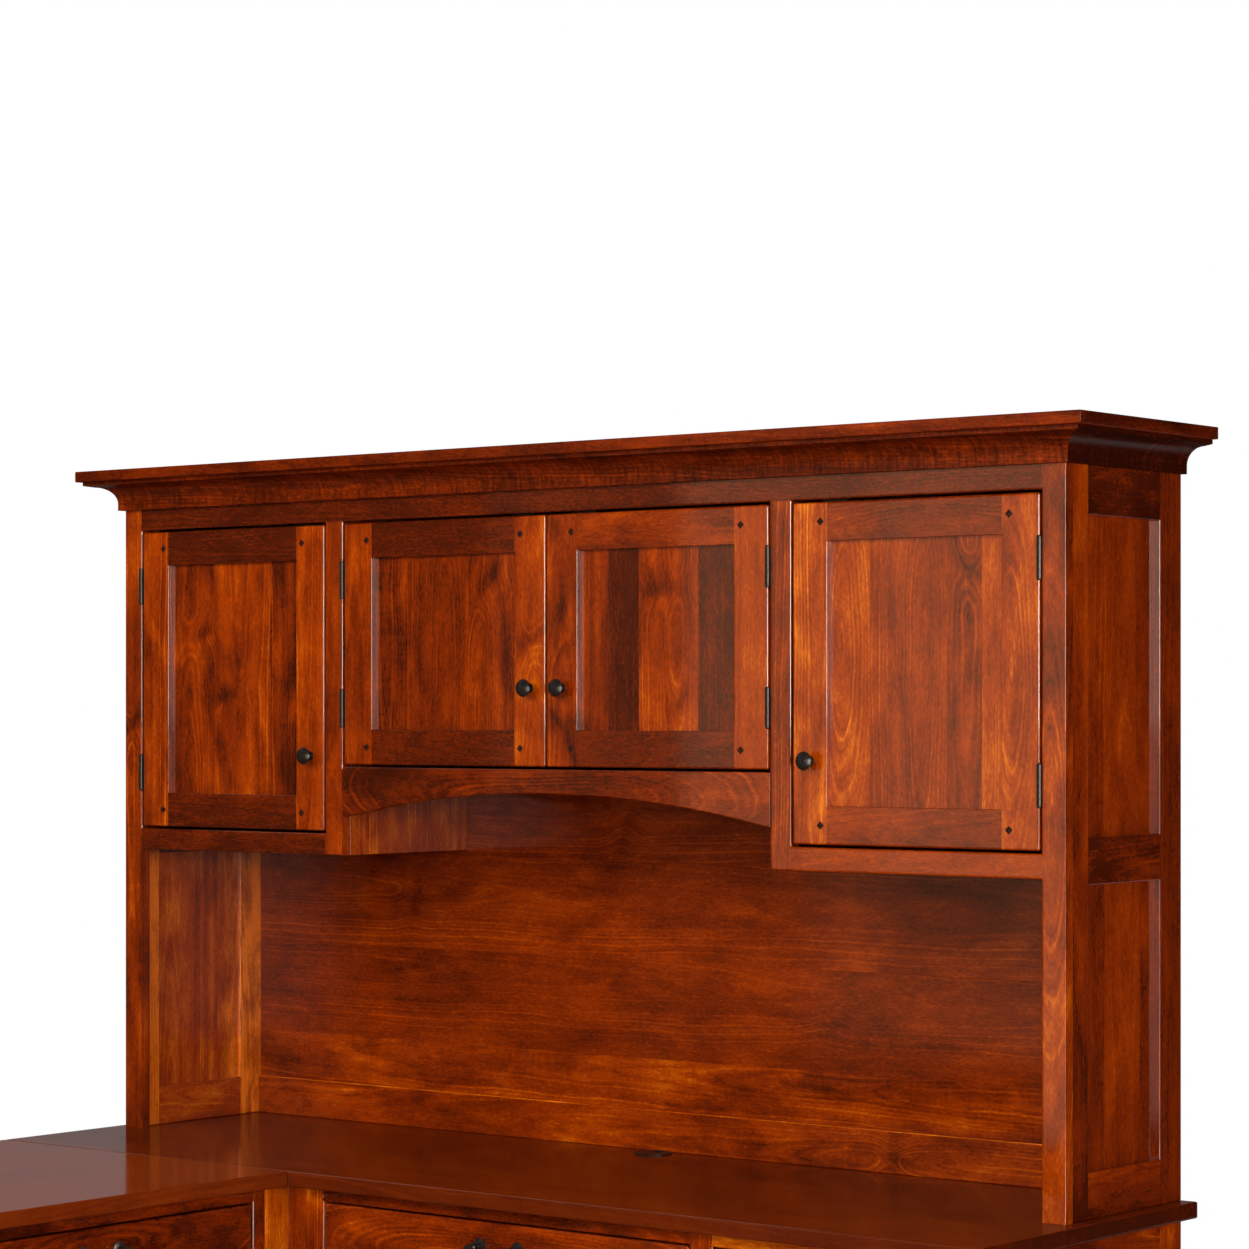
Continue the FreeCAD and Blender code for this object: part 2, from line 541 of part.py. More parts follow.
def build_base():
    """The desk's face frames, panelled walls, inner boards and floor glides."""
    foot = GLIDE_HEIGHT
    head = TOP_UNDERSIDE
    divider_top = OPENING_TOP - UPPER_OPENING
    pedestal_rails = [(WALL_LIFT, PEDESTAL_FLOOR), (divider_top - DIVIDER_RAIL, divider_top),
                      (OPENING_TOP, head)]
    main_stiles = [(RETURN_WIDTH, KNEE_X0), (KNEE_X1, PEDESTAL_X0), (PEDESTAL_X1, CASE_WIDTH)]
    return_stiles = [(RETURN_STILE_Y, MAIN_FACE_Y + FRAME_THICK), (RETURN_KNEE_Y1, RETURN_STILE_Y),
                     (RETURN_PEDESTAL_Y1, RETURN_KNEE_Y0), (RETURN_END_Y, RETURN_PEDESTAL_Y0)]
    faces = [MAIN_FACE(KNEE_X0, KNEE_X1, 0, FRAME_THICK, OPENING_TOP, head),
             RETURN_FACE(RETURN_KNEE_Y0, RETURN_KNEE_Y1, 0, FRAME_THICK, OPENING_TOP, head)]
    faces += [MAIN_FACE(u0, u1, 0, FRAME_THICK, foot, head) for u0, u1 in main_stiles]
    faces += [RETURN_FACE(u0, u1, 0, FRAME_THICK, foot, head) for u0, u1 in return_stiles]
    for z0, z1 in pedestal_rails:
        faces.append(MAIN_FACE(PEDESTAL_X0, PEDESTAL_X1, 0, FRAME_THICK, z0, z1))
        faces.append(RETURN_FACE(RETURN_PEDESTAL_Y0, RETURN_PEDESTAL_Y1, 0, FRAME_THICK, z0, z1))
    save("desk_face_frames", faces)

    # Panelled walls: both ends of the main table, its back, and the return's back and end
    main_inner_y = MAIN_FACE_Y + FRAME_THICK
    return_inner_x = RETURN_WIDTH - FRAME_THICK
    back_stile = (HUTCH_DEPTH - WALL_STILE, HUTCH_DEPTH)
    walls = [(HUTCH_RIGHT, [(main_inner_y, main_inner_y + END_FRONT_STILE - FRAME_THICK), back_stile]),
             (HUTCH_LEFT, [(MAIN_FACE_Y, MAIN_FACE_Y + WALL_STILE), back_stile]),
             (MAIN_BACK, even_stiles(FRAME_THICK, CASE_WIDTH - FRAME_THICK, WALL_STILE, BACK_BAYS)),
             (HUTCH_LEFT, even_stiles(RETURN_END_Y + FRAME_THICK, MAIN_FACE_Y, WALL_STILE, RETURN_BAYS)),
             (RETURN_END, even_stiles(0.0, return_inner_x, WALL_STILE, 1))]
    rails = [(WALL_LIFT, WALL_LIFT + WALL_RAIL), (head - WALL_RAIL, head)]
    frames = []
    wall_panels = []
    standing = [(MAIN_FACE, main_stiles), (RETURN_FACE, return_stiles)]
    for lay, stiles in walls:
        members, panels = framed_wall(lay, stiles, rails, foot, head)
        frames += members
        wall_panels += panels
        standing.append((lay, stiles))
    save("desk_wall_frames", frames)
    save("desk_wall_panels", wall_panels)

    # Upright boards beside the knee spaces, and the floors of the pedestals
    floor_base = PEDESTAL_FLOOR - BOARD_THICK
    corner_x = KNEE_X0 - BOARD_THICK
    pedestal_x = KNEE_X1 + BOARD_THICK
    pedestal_y = RETURN_KNEE_Y0 - BOARD_THICK
    boards = [board(corner_x, KNEE_X0, main_inner_y, MAIN_INNER_BACK_Y, WALL_LIFT, head),
              board(KNEE_X1, pedestal_x, main_inner_y, MAIN_INNER_BACK_Y, WALL_LIFT, head),
              board(FRAME_THICK, return_inner_x, pedestal_y, RETURN_KNEE_Y0, WALL_LIFT, head),
              board(pedestal_x, CASE_WIDTH - FRAME_THICK, main_inner_y, MAIN_INNER_BACK_Y,
                    floor_base, PEDESTAL_FLOOR),
              board(FRAME_THICK, return_inner_x, RETURN_END_Y + FRAME_THICK, pedestal_y,
                    floor_base, PEDESTAL_FLOOR)]

    # One tapered glide under the foot of every stile
    glides = []
    for lay, stiles in standing:
        for u0, u1 in stiles:
            centre = lay(u0, u1, 0, FRAME_THICK, 0, foot).CenterOfMass
            centre.z = 0.0
            tread = GLIDE_RADIUS - GLIDE_TAPER
            glides.append(Part.makeCone(tread, GLIDE_RADIUS, foot, centre, ALONG_Z))
    save("floor_glides", glides)
    return boards


def pull():
    """A drop pull on a face at Y 0: two turned posts on rosettes, and the bail that hangs from them."""
    posts = []
    rosette = turned([(0.0, 0.0), (ROSETTE_RADIUS, 0.0), (ROSETTE_RADIUS, ROSETTE_EDGE)],
                     ROSETTE_EDGE + ROSETTE_DOME)
    neck = Part.makeCylinder(POST_NECK, PIVOT_REACH, V(0, 0, 0), -ALONG_Y)
    head = Part.makeSphere(POST_HEAD, V(0, -PIVOT_REACH, 0))
    bore_radius = BAIL_PIN_RADIUS + BAIL_PIN_CLEARANCE
    bore = Part.makeCylinder(bore_radius, 2 * POST_HEAD, V(-POST_HEAD, -PIVOT_REACH, 0), ALONG_X)
    post = rosette.fuse([neck, head]).cut(bore)
    for x in (-PULL_SPACING / 2, PULL_SPACING / 2):
        standing = post.copy()
        standing.translate(V(x, 0, 0))
        posts.append(standing)

    # The bail is a round rod: out from each post, down, and across below
    start_x = PULL_SPACING / 2 + POST_HEAD + BAIL_END_CLEARANCE
    arm_x = PULL_SPACING / 2 + BAIL_ARM + BAIL_RADIUS
    low = -BAIL_DROP
    shoulder = BAIL_SHOULDER_BEND
    bend = BAIL_BEND
    turn = 0.5 ** 0.5
    right = [(V(start_x, 0, 0), V(arm_x - shoulder, 0, 0)),
             (V(arm_x - shoulder, 0, 0), V(arm_x - shoulder * (1 - turn), 0, -shoulder * (1 - turn)),
              V(arm_x, 0, -shoulder)),
             (V(arm_x, 0, -shoulder), V(arm_x, 0, low + bend)),
             (V(arm_x, 0, low + bend), V(arm_x - bend * (1 - turn), 0, low + bend * (1 - turn)),
              V(arm_x - bend, 0, low))]
    edges = []
    for points in right:
        edges.append(Part.makeLine(*points) if len(points) == 2 else Part.Arc(*points).toShape())
    edges.append(Part.makeLine(V(arm_x - bend, 0, low), V(bend - arm_x, 0, low)))
    for points in reversed(right):
        mirrored = [V(-point.x, point.y, point.z) for point in reversed(points)]
        edges.append(Part.makeLine(*mirrored) if len(points) == 2 else Part.Arc(*mirrored).toShape())
    section = Part.Wire(Part.makeCircle(BAIL_RADIUS, V(start_x, 0, 0), ALONG_X))
    rod = Part.Wire(edges).makePipeShell([section], True, False)
    pins = []
    for side in (1, -1):
        inner_end = V(side * (start_x - BAIL_PIN_LENGTH), 0, 0)
        pin_length = BAIL_PIN_LENGTH + BAIL_PIN_ROOT
        pins.append(Part.makeCylinder(BAIL_PIN_RADIUS, pin_length, inner_end, ALONG_X * side))
    bail = rod.fuse(pins)
    bail.translate(V(0, -PIVOT_REACH, 0))
    return posts, bail


def drawer_plan():
    """Each drawer: its name, face, opening limits, the walls beside it, and the depth inside."""
    divider_top = OPENING_TOP - UPPER_OPENING
    pencil_sill = OPENING_TOP - PENCIL_FRONT - 2 * DRAWER_GAP
    main_depth = MAIN_INNER_BACK_Y - MAIN_FACE_Y
    return_depth = RETURN_WIDTH - FRAME_THICK
    main_walls = (KNEE_X1 + BOARD_THICK, CASE_WIDTH - FRAME_THICK)
    return_walls = (RETURN_END_Y + FRAME_THICK, RETURN_KNEE_Y0 - BOARD_THICK)
    main_bay = (PEDESTAL_X0, PEDESTAL_X1)
    return_bay = (RETURN_PEDESTAL_Y0, RETURN_PEDESTAL_Y1)
    main_knee = (KNEE_X0, KNEE_X1)
    return_knee = (RETURN_KNEE_Y0, RETURN_KNEE_Y1)
    upper = (divider_top, OPENING_TOP)
    lower = (PEDESTAL_FLOOR, divider_top - DIVIDER_RAIL)
    pencil = (pencil_sill, OPENING_TOP)
    return [("main_pencil_drawer", MAIN_FACE, main_knee, main_knee, pencil, main_depth),
            ("main_upper_drawer", MAIN_FACE, main_bay, main_walls, upper, main_depth),
            ("main_file_drawer", MAIN_FACE, main_bay, main_walls, lower, main_depth),
            ("return_pencil_drawer", RETURN_FACE, return_knee, return_knee, pencil, return_depth),
            ("return_upper_drawer", RETURN_FACE, return_bay, return_walls, upper, return_depth),
            ("return_file_drawer", RETURN_FACE, return_bay, return_walls, lower, return_depth)]


def build_drawers(boards):
    """Six drawers with their pulls, and the wooden runners that carry them."""
    pull_posts, pull_bail = pull()
    for name, lay, bay, walls, (sill, head), depth in drawer_plan():
        hangs = "pencil" in name
        u0 = bay[0] + DRAWER_GAP
        u1 = bay[1] - DRAWER_GAP
        z0 = sill + DRAWER_GAP
        z1 = head - DRAWER_GAP
        front = lay(u0, u1, 0, FRAME_THICK, z0, z1)
        save(f"{name}_front", [eased(front, FRONT_EASE)])

        # The box is four sides and a bottom that lies between them
        inset = PENCIL_SIDE_SPACE - DRAWER_GAP if hangs else 0.0
        back_clearance = PENCIL_BACK_CLEARANCE if hangs else PEDESTAL_BACK_CLEARANCE
        b0 = u0 + inset
        b1 = u1 - inset
        d0 = FRAME_THICK
        d1 = depth - back_clearance
        low = z0 + BOX_RISE
        high = z1 - BOX_DROP
        floor = low + BOX_BOTTOM_LIFT
        inner0 = b0 + BOX_SIDE
        inner1 = b1 - BOX_SIDE
        box = [lay(b0, inner0, d0, d1, low, high), lay(inner1, b1, d0, d1, low, high),
               lay(inner0, inner1, d0, d0 + BOX_SIDE, low, high),
               lay(inner0, inner1, d1 - BOX_SIDE, d1, low, high),
               lay(inner0, inner1, d0 + BOX_SIDE, d1 - BOX_SIDE, floor, floor + BOX_BOTTOM)]
        save(f"{name}_box", box)

        # Each runner is a guide beside the box and a lip below it
        runner_end = d1 + RUNNER_EXTRA
        guide_head = TOP_UNDERSIDE if hangs else high
        lip_top = low - RUNNER_CLEARANCE
        lip_base = lip_top - RUNNER_THICK
        for wall, edge, inward in ((walls[0], b0, 1), (walls[1], b1, -1)):
            guide = lay(wall, edge - inward * GUIDE_CLEARANCE, d0, runner_end, lip_base, guide_head)
            lip = lay(wall, edge + inward * BOX_SIDE, d0, runner_end, lip_base, lip_top)
            boards.append(guide.fuse(lip).removeSplitter())

        # The pull is centred on the front, a little above its middle
        centre = front.CenterOfMass
        pivot = V(centre.x, MAIN_FACE_Y, centre.z + PULL_LIFT)
        turn = 0
        if lay is RETURN_FACE:
            pivot = V(RETURN_WIDTH, centre.y, centre.z + PULL_LIFT)
            turn = 90
        fittings = []
        for solid in pull_posts + [pull_bail]:
            fitted = solid.copy()
            fitted.rotate(V(0, 0, 0), ALONG_Z, turn)
            fitted.translate(pivot)
            fittings.append(fitted)
        save(f"{name}_pull_posts", fittings[:2])
        save(f"{name}_bail", fittings[2:])
    save("pedestal_boards", boards)


os.makedirs("parts", exist_ok=True)
build_crown()
build_hutch_case()
build_doors()
build_tops()
build_drawers(build_base())
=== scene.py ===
import bpy
import math
import random
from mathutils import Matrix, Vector


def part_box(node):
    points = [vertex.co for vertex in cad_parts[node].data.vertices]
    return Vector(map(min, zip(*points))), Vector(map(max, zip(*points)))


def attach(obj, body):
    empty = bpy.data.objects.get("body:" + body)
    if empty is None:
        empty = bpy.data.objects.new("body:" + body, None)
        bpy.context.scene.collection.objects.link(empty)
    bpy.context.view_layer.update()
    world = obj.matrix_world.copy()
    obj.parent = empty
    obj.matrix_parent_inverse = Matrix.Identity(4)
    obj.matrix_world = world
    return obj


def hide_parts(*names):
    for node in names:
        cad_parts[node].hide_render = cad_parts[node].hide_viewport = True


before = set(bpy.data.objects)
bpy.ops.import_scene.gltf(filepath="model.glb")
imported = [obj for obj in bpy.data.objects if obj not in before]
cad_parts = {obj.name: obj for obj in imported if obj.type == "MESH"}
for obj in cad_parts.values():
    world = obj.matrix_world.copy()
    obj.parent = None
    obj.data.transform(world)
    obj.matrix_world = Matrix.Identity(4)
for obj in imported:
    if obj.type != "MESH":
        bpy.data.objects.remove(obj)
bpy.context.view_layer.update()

# The desk's face frames: stiles and rails of stained maple, 20 mm thick, glued up flush with
# each other and sanded. Every free arris is rounded over before the lacquer goes on.
FRAME_THICK = 0.020
FRAME_EASE = 0.0022
REBATE_EASE = 0.0009
NEAR = 0.0002
BESIDE_JOINT = 0.005
END_GRAIN_DARK = 0.14
GRAIN_LAYERS = ("grain", "stain", "eye")
GRAIN_SOCKETS = ("Grain", "Stain", "Eye")
RINGS_PER_METRE = 170.0
LACQUER_IOR = 1.9
RELIEF_DEPTH = 0.0004
KNOT_SHORTER = 32.0
KNOT_NARROWER = 85.0
FAR_OFF = 10.0
FACING = 0.7
CHANCE_SEED = 20
chance = random.Random(CHANCE_SEED)


def srgb(red, green, blue):
    """A colour as a paint chart gives it, from 0 to 255, in the linear values that shaders take."""
    shares = [part / 255 for part in (red, green, blue)]
    return [s / 12.92 if s <= 0.04045 else ((s + 0.055) / 1.055) ** 2.4 for s in shares] + [1.0]


def add_node(tree, kind, inputs=None, **settings):
    """A new shader node. Each input, by its name or number, takes a value or another node's output."""
    node = tree.nodes.new(f"ShaderNode{kind}")
    for setting, choice in settings.items():
        setattr(node, setting, choice)
    for socket, given in (inputs or {}).items():
        if isinstance(given, bpy.types.NodeSocket):
            tree.links.new(given, node.inputs[socket])
        else:
            node.inputs[socket].default_value = given
    return node


def calc(tree, operation, *terms):
    """One sum in a node tree: each term is a number or another node's output."""
    return add_node(tree, "Math", dict(enumerate(terms)), operation=operation).outputs[0]


def ramp_between(tree, value, low, high):
    """Rises smoothly from 0 to 1 as a value goes from low to high."""
    ramp = add_node(tree, "MapRange", {"Value": value, "From Min": low, "From Max": high},
                    interpolation_type="SMOOTHSTEP")
    return ramp.outputs["Result"]


def stretched_noise(tree, grain, along, across, detail, swirl=0.0):
    """Noise drawn out along the grain: how many times a metre it changes along and across the board."""
    stretch = add_node(tree, "VectorMath", {0: grain, 1: (along, across, across)}, operation="MULTIPLY")
    noise = add_node(tree, "TexNoise", {"Vector": stretch.outputs[0], "Scale": 1.0, "Detail": detail,
                                        "Distortion": swirl})
    return noise.outputs["Fac"]


def make_sawn_maple():
    """The figure of a sawn board: growth rings about the pith, blotched stain, curl, pores and knots."""
    tree = bpy.data.node_groups.new("sawn_maple", "ShaderNodeTree")
    for name in GRAIN_SOCKETS:
        tree.interface.new_socket(name, in_out="INPUT", socket_type="NodeSocketVector")
    tree.interface.new_socket("Contrast", in_out="INPUT", socket_type="NodeSocketFloat")
    for name in ("Figure", "Roughness", "Height"):
        tree.interface.new_socket(name, in_out="OUTPUT", socket_type="NodeSocketFloat")
    given = tree.nodes.new("NodeGroupInput")
    result = tree.nodes.new("NodeGroupOutput")
    grain = given.outputs["Grain"]

    parts = {name: add_node(tree, "SeparateXYZ", {0: given.outputs[name]}) for name in GRAIN_SOCKETS}
    across = parts["Grain"].outputs["Y"]
    depth = parts["Grain"].outputs["Z"]
    tone = parts["Stain"].outputs["X"]
    curl_share = parts["Stain"].outputs["Y"]
    lively = parts["Stain"].outputs["Z"]
    bow = parts["Eye"].outputs["Z"]

    # A knot is a dark smear that the rings bend round, with painted sheen beside it: paler along one side
    # and darker along the other
    smear_along = calc(tree, "MULTIPLY", parts["Eye"].outputs["X"], KNOT_SHORTER)
    smear_across = calc(tree, "MULTIPLY", parts["Eye"].outputs["Y"], KNOT_NARROWER)
    reach = calc(tree, "ADD", calc(tree, "POWER", smear_along, 2.0),
                 calc(tree, "POWER", smear_across, 2.0))
    smear = calc(tree, "EXPONENT", calc(tree, "MULTIPLY", reach, -1.0))
    bulge = calc(tree, "EXPONENT", calc(tree, "MULTIPLY", reach, -0.2))
    beside = calc(tree, "EXPONENT", calc(tree, "MULTIPLY", reach, -0.5))
    painted_sheen_side = calc(tree, "MULTIPLY", smear_across, beside)

    # Rings are counted by the distance from the pith, which wanders along the log
    wander = stretched_noise(tree, grain, 2.5, 10.0, 2.0)
    wobble = stretched_noise(tree, grain, 22.0, 60.0, 2.0)
    bowed = calc(tree, "MULTIPLY", calc(tree, "POWER", parts["Eye"].outputs["X"], 2.0), bow)
    depth = calc(tree, "ADD", depth, bowed)
    squares = calc(tree, "ADD", calc(tree, "POWER", across, 2.0), calc(tree, "POWER", depth, 2.0))
    radius = calc(tree, "MULTIPLY_ADD", wander, 0.030, calc(tree, "SQRT", squares))
    radius = calc(tree, "MULTIPLY_ADD", wobble, 0.003, radius)
    radius = calc(tree, "MULTIPLY_ADD", bulge, 0.014, radius)
    ring = calc(tree, "MULTIPLY", radius, RINGS_PER_METRE)
    from_middle = calc(tree, "ABSOLUTE", calc(tree, "SUBTRACT", calc(tree, "FRACT", ring), 0.5))
    number = add_node(tree, "TexWhiteNoise", {"W": calc(tree, "FLOOR", ring)}, noise_dimensions="1D")
    pale_line = calc(tree, "SUBTRACT", 1.0, ramp_between(tree, from_middle, 0.02, 0.20))
    dark_line = ramp_between(tree, from_middle, 0.36, 0.50)
    line = calc(tree, "MULTIPLY_ADD", dark_line, -0.26, calc(tree, "MULTIPLY", pale_line, 0.30))
    line = calc(tree, "MULTIPLY", line, calc(tree, "POWER", number.outputs["Value"], 2.0))
    patchy = ramp_between(tree, stretched_noise(tree, grain, 5.0, 14.0, 1.0), 0.36, 0.60)
    line = calc(tree, "MULTIPLY", line, calc(tree, "MULTIPLY_ADD", patchy, 0.7, 0.3))
    bands = add_node(tree, "TexNoise", {"W": radius, "Scale": 75.0, "Detail": 2.0}, noise_dimensions="1D")

    # Stain takes unevenly over the figure, and its pores and fibres show all over
    blotch = stretched_noise(tree, grain, 5.0, 13.0, 2.5, 0.8)
    cloud = stretched_noise(tree, grain, 15.0, 36.0, 2.0, 0.5)
    streak = stretched_noise(tree, grain, 3.0, 95.0, 2.0)
    speckle = stretched_noise(tree, grain, 130.0, 320.0, 1.5)
    fleck = ramp_between(tree, stretched_noise(tree, grain, 50.0, 360.0, 1.0), 0.58, 0.72)
    pore = ramp_between(tree, stretched_noise(tree, grain, 70.0, 410.0, 1.0), 0.60, 0.74)
    curl = stretched_noise(tree, grain, 190.0, 26.0, 1.0, 0.4)

    swing = calc(tree, "MULTIPLY_ADD", smear, -0.19, line)
    swing = calc(tree, "MULTIPLY_ADD", painted_sheen_side, 0.16, swing)
    for value, weight in ((bands.outputs["Fac"], 0.40), (blotch, 1.0), (cloud, 0.48), (streak, 0.16)):
        swing = calc(tree, "MULTIPLY_ADD", calc(tree, "SUBTRACT", value, 0.5), weight, swing)
    swing = calc(tree, "MULTIPLY", swing, lively)
    swing = calc(tree, "MULTIPLY_ADD", calc(tree, "SUBTRACT", curl, 0.5), curl_share, swing)
    swing = calc(tree, "MULTIPLY_ADD", calc(tree, "SUBTRACT", speckle, 0.5), 0.42, swing)
    swing = calc(tree, "MULTIPLY_ADD", fleck, 0.12, swing)
    swing = calc(tree, "MULTIPLY_ADD", pore, -0.03, swing)
    found = calc(tree, "MULTIPLY_ADD", swing, given.outputs["Contrast"], tone)
    tree.links.new(found, result.inputs["Figure"])
    tree.links.new(calc(tree, "MULTIPLY_ADD", speckle, 0.16, 0.22), result.inputs["Roughness"])
    tree.links.new(speckle, result.inputs["Height"])
    return tree


sawn_maple = make_sawn_maple()


def new_finish(name, constants):
    """A new material with what is the same all over it: the material, its node tree and its shader."""
    finish = bpy.data.materials.new(name)
    finish.use_nodes = True
    tree = finish.node_tree
    shader = tree.nodes["Principled BSDF"]
    for socket, value in constants.items():
        shader.inputs[socket].default_value = value
    return finish, tree, shader


def colour_chart(tree, value, colours, ends=(0.0, 1.0)):
    """Turns a value into a colour on a chart, whose colours stand evenly between two ends."""
    chart = add_node(tree, "ValToRGB", {"Fac": value})
    stops = chart.color_ramp.elements
    while len(stops) < len(colours):
        stops.new(0.5)
    for place, colour in enumerate(colours):
        stops[place].position = ends[0] + (ends[1] - ends[0]) * place / (len(colours) - 1)
        stops[place].color = srgb(*colour)
    return chart.outputs["Color"]


def wood_finish(name, colours, contrast=0.8, lacquer=0.8, lacquer_roughness=0.06, bump=0.06):
    """A board's finish: its figure picks a colour between the darkest and the palest, under a lacquer."""
    finish, tree, shader = new_finish(name, {"Specular IOR Level": 0.0, "Coat Weight": lacquer,
                                             "Coat Roughness": lacquer_roughness, "Coat IOR": LACQUER_IOR})
    inputs = {"Contrast": contrast}
    for layer, socket in zip(GRAIN_LAYERS, GRAIN_SOCKETS):
        inputs[socket] = add_node(tree, "Attribute", attribute_name=layer).outputs["Vector"]
    board = add_node(tree, "Group", inputs, node_tree=sawn_maple)
    relief = add_node(tree, "Bump", {"Strength": bump, "Distance": RELIEF_DEPTH,
                                     "Height": board.outputs["Height"]})
    tree.links.new(colour_chart(tree, board.outputs["Figure"], colours), shader.inputs["Base Color"])
    tree.links.new(board.outputs["Roughness"], shader.inputs["Roughness"])
    tree.links.new(relief.outputs["Normal"], shader.inputs["Normal"])
    return finish


CHERRY_STAIN = ((46, 12, 3), (82, 24, 4), (122, 39, 3), (158, 57, 3), (193, 91, 6), (247, 129, 24))
stained_maple = wood_finish("stained_maple", CHERRY_STAIN)


def select_only(*pieces):
    """Selects these pieces and nothing else, and makes the first of them the active one."""
    bpy.ops.object.select_all(action="DESELECT")
    for piece in pieces:
        piece.select_set(True)
    if pieces:
        bpy.context.view_layer.objects.active = pieces[0]


def add_grain_layers(mesh):
    for layer in GRAIN_LAYERS:
        mesh.attributes.new(layer, "FLOAT_VECTOR", "CORNER")


LOG_LENGTH = 20.0
SLIGHT_TILT = (0.02, 0.05)
STEEP_TILT = (0.10, 0.15)
DEEP_PITH = (0.02, 0.05)
ARCHED_PITH = (0.008, 0.016)
OVAL_PITH = (0.006, 0.012)
OVAL_BOW = (0.3, 0.5)
PITH_WANDER = 0.3
RIFT_OFFSET = (0.05, 0.12)
LOW_SIDE = -0.5


def lay_grain(mesh, faces, low, high, shade, cut="flat", knot=None, curl=0.0, lively=1.0, paler=0.0,
              outside=0.0):
    """Gives one board's faces their place in the log that it was sawn from, its stain, and its knot.
    A shade runs from 0, the darkest stain, to 1, the palest. A board may grow paler to its far end, or
    have another tone outside, on its low side, so that only its other side carries painted light. A knot
    is its place along and across the board, and the slant of its smear from the grain."""
    size = [high[axis] - low[axis] for axis in range(3)]
    middle = [(high[axis] + low[axis]) / 2 for axis in range(3)]
    thin, across, along = sorted(range(3), key=lambda axis: size[axis])
    start = chance.uniform(0.0, LOG_LENGTH)
    tilt = chance.uniform(*SLIGHT_TILT) * chance.choice((-1, 1))
    pith_depth = chance.uniform(*DEEP_PITH)
    pith_side = chance.uniform(-PITH_WANDER, PITH_WANDER) * size[across]
    bow = 0.0
    if cut == "arched":
        tilt = chance.uniform(*STEEP_TILT) * chance.choice((-1, 1))
        pith_depth = chance.uniform(*ARCHED_PITH)
    elif cut == "oval":
        tilt = 0.0
        pith_depth = chance.uniform(*OVAL_PITH)
        bow = chance.uniform(*OVAL_BOW)
    elif cut == "rift":
        pith_side = (size[across] / 2 + chance.uniform(*RIFT_OFFSET)) * chance.choice((-1, 1))
    eye_along, eye_across, slant = middle[along], low[across] - FAR_OFF, 0.0
    if knot:
        eye_along = low[along] + knot[0] * size[along]
        eye_across = low[across] + knot[1] * size[across]
        slant = math.radians(knot[2])
    grain, stain, eye = [mesh.attributes[layer].data for layer in GRAIN_LAYERS]
    for face in faces:
        tone = shade - (END_GRAIN_DARK if abs(face.normal[along]) > FACING else 0.0)
        if face.normal[thin] < LOW_SIDE:
            tone += outside
        for corner in face.loop_indices:
            point = mesh.vertices[mesh.loops[corner].vertex_index].co
            reach = point[along] - middle[along]
            grain[corner].vector = (start + reach, point[across] - middle[across] - pith_side,
                                    point[thin] - middle[thin] + pith_depth + tilt * reach)
            stain[corner].vector = (tone + paler * reach / size[along], curl, lively)
            from_eye = (point[along] - eye_along, point[across] - eye_across)
            eye[corner].vector = (from_eye[0] * math.cos(slant) + from_eye[1] * math.sin(slant),
                                  from_eye[1] * math.cos(slant) - from_eye[0] * math.sin(slant), bow)


def on_plane(points, planes):
    """Whether an edge lies on one of some planes: an axis, a place along it, and how high it goes."""
    for axis, place, *head in planes:
        reach = head[0] if head else FAR_OFF
        if all(abs(point[axis] - place) < NEAR and point.z < reach + NEAR for point in points):
            return True
    return False


def ease_arrises(board, width, glued=(), steps=3, only=None):
    """Rounds over a piece's sharp edges, apart from those on the planes where it is glued to another, or
    only those on some planes."""
    mesh = board.data
    bpy.ops.object.mode_set(mode="EDIT")
    bpy.ops.mesh.select_mode(type="EDGE")
    bpy.ops.mesh.select_all(action="DESELECT")
    bpy.ops.object.mode_set(mode="OBJECT")
    sides = {}
    for face in mesh.polygons:
        for key in face.edge_keys:
            sides.setdefault(key, []).append(face.normal)
    for edge in mesh.edges:
        pair = sides[edge.key]
        sharp = len(pair) == 2 and pair[0].dot(pair[1]) < FACING
        ends = [mesh.vertices[index].co for index in edge.vertices]
        wanted = only is None or on_plane(ends, only)
        edge.select = sharp and wanted and not on_plane(ends, glued)
    bpy.ops.object.mode_set(mode="EDIT")
    bpy.ops.mesh.bevel(offset=width, segments=steps, profile=0.5, affect="EDGES", clamp_overlap=True)
    bpy.ops.object.mode_set(mode="OBJECT")


def saw_lines(axis, places):
    """Cuts the mesh in edit mode along planes across one axis."""
    for place in places:
        bpy.ops.mesh.select_all(action="SELECT")
        point = [0.0, 0.0, 0.0]
        point[axis] = place
        direction = [0.0, 0.0, 0.0]
        direction[axis] = 1.0
        bpy.ops.mesh.bisect(plane_co=point, plane_no=direction)


def cut_lines(edges):
    """The lines to cut a frame's sheet on: each joint line, and one close by on either side of it that
    keeps the joint straight up to the eased corner."""
    edges = sorted({round(edge, 6) for edge in edges})
    beside = [edge + step for edge in edges[1:-1] for step in (-BESIDE_JOINT, BESIDE_JOINT)]
    return sorted(edges + beside)


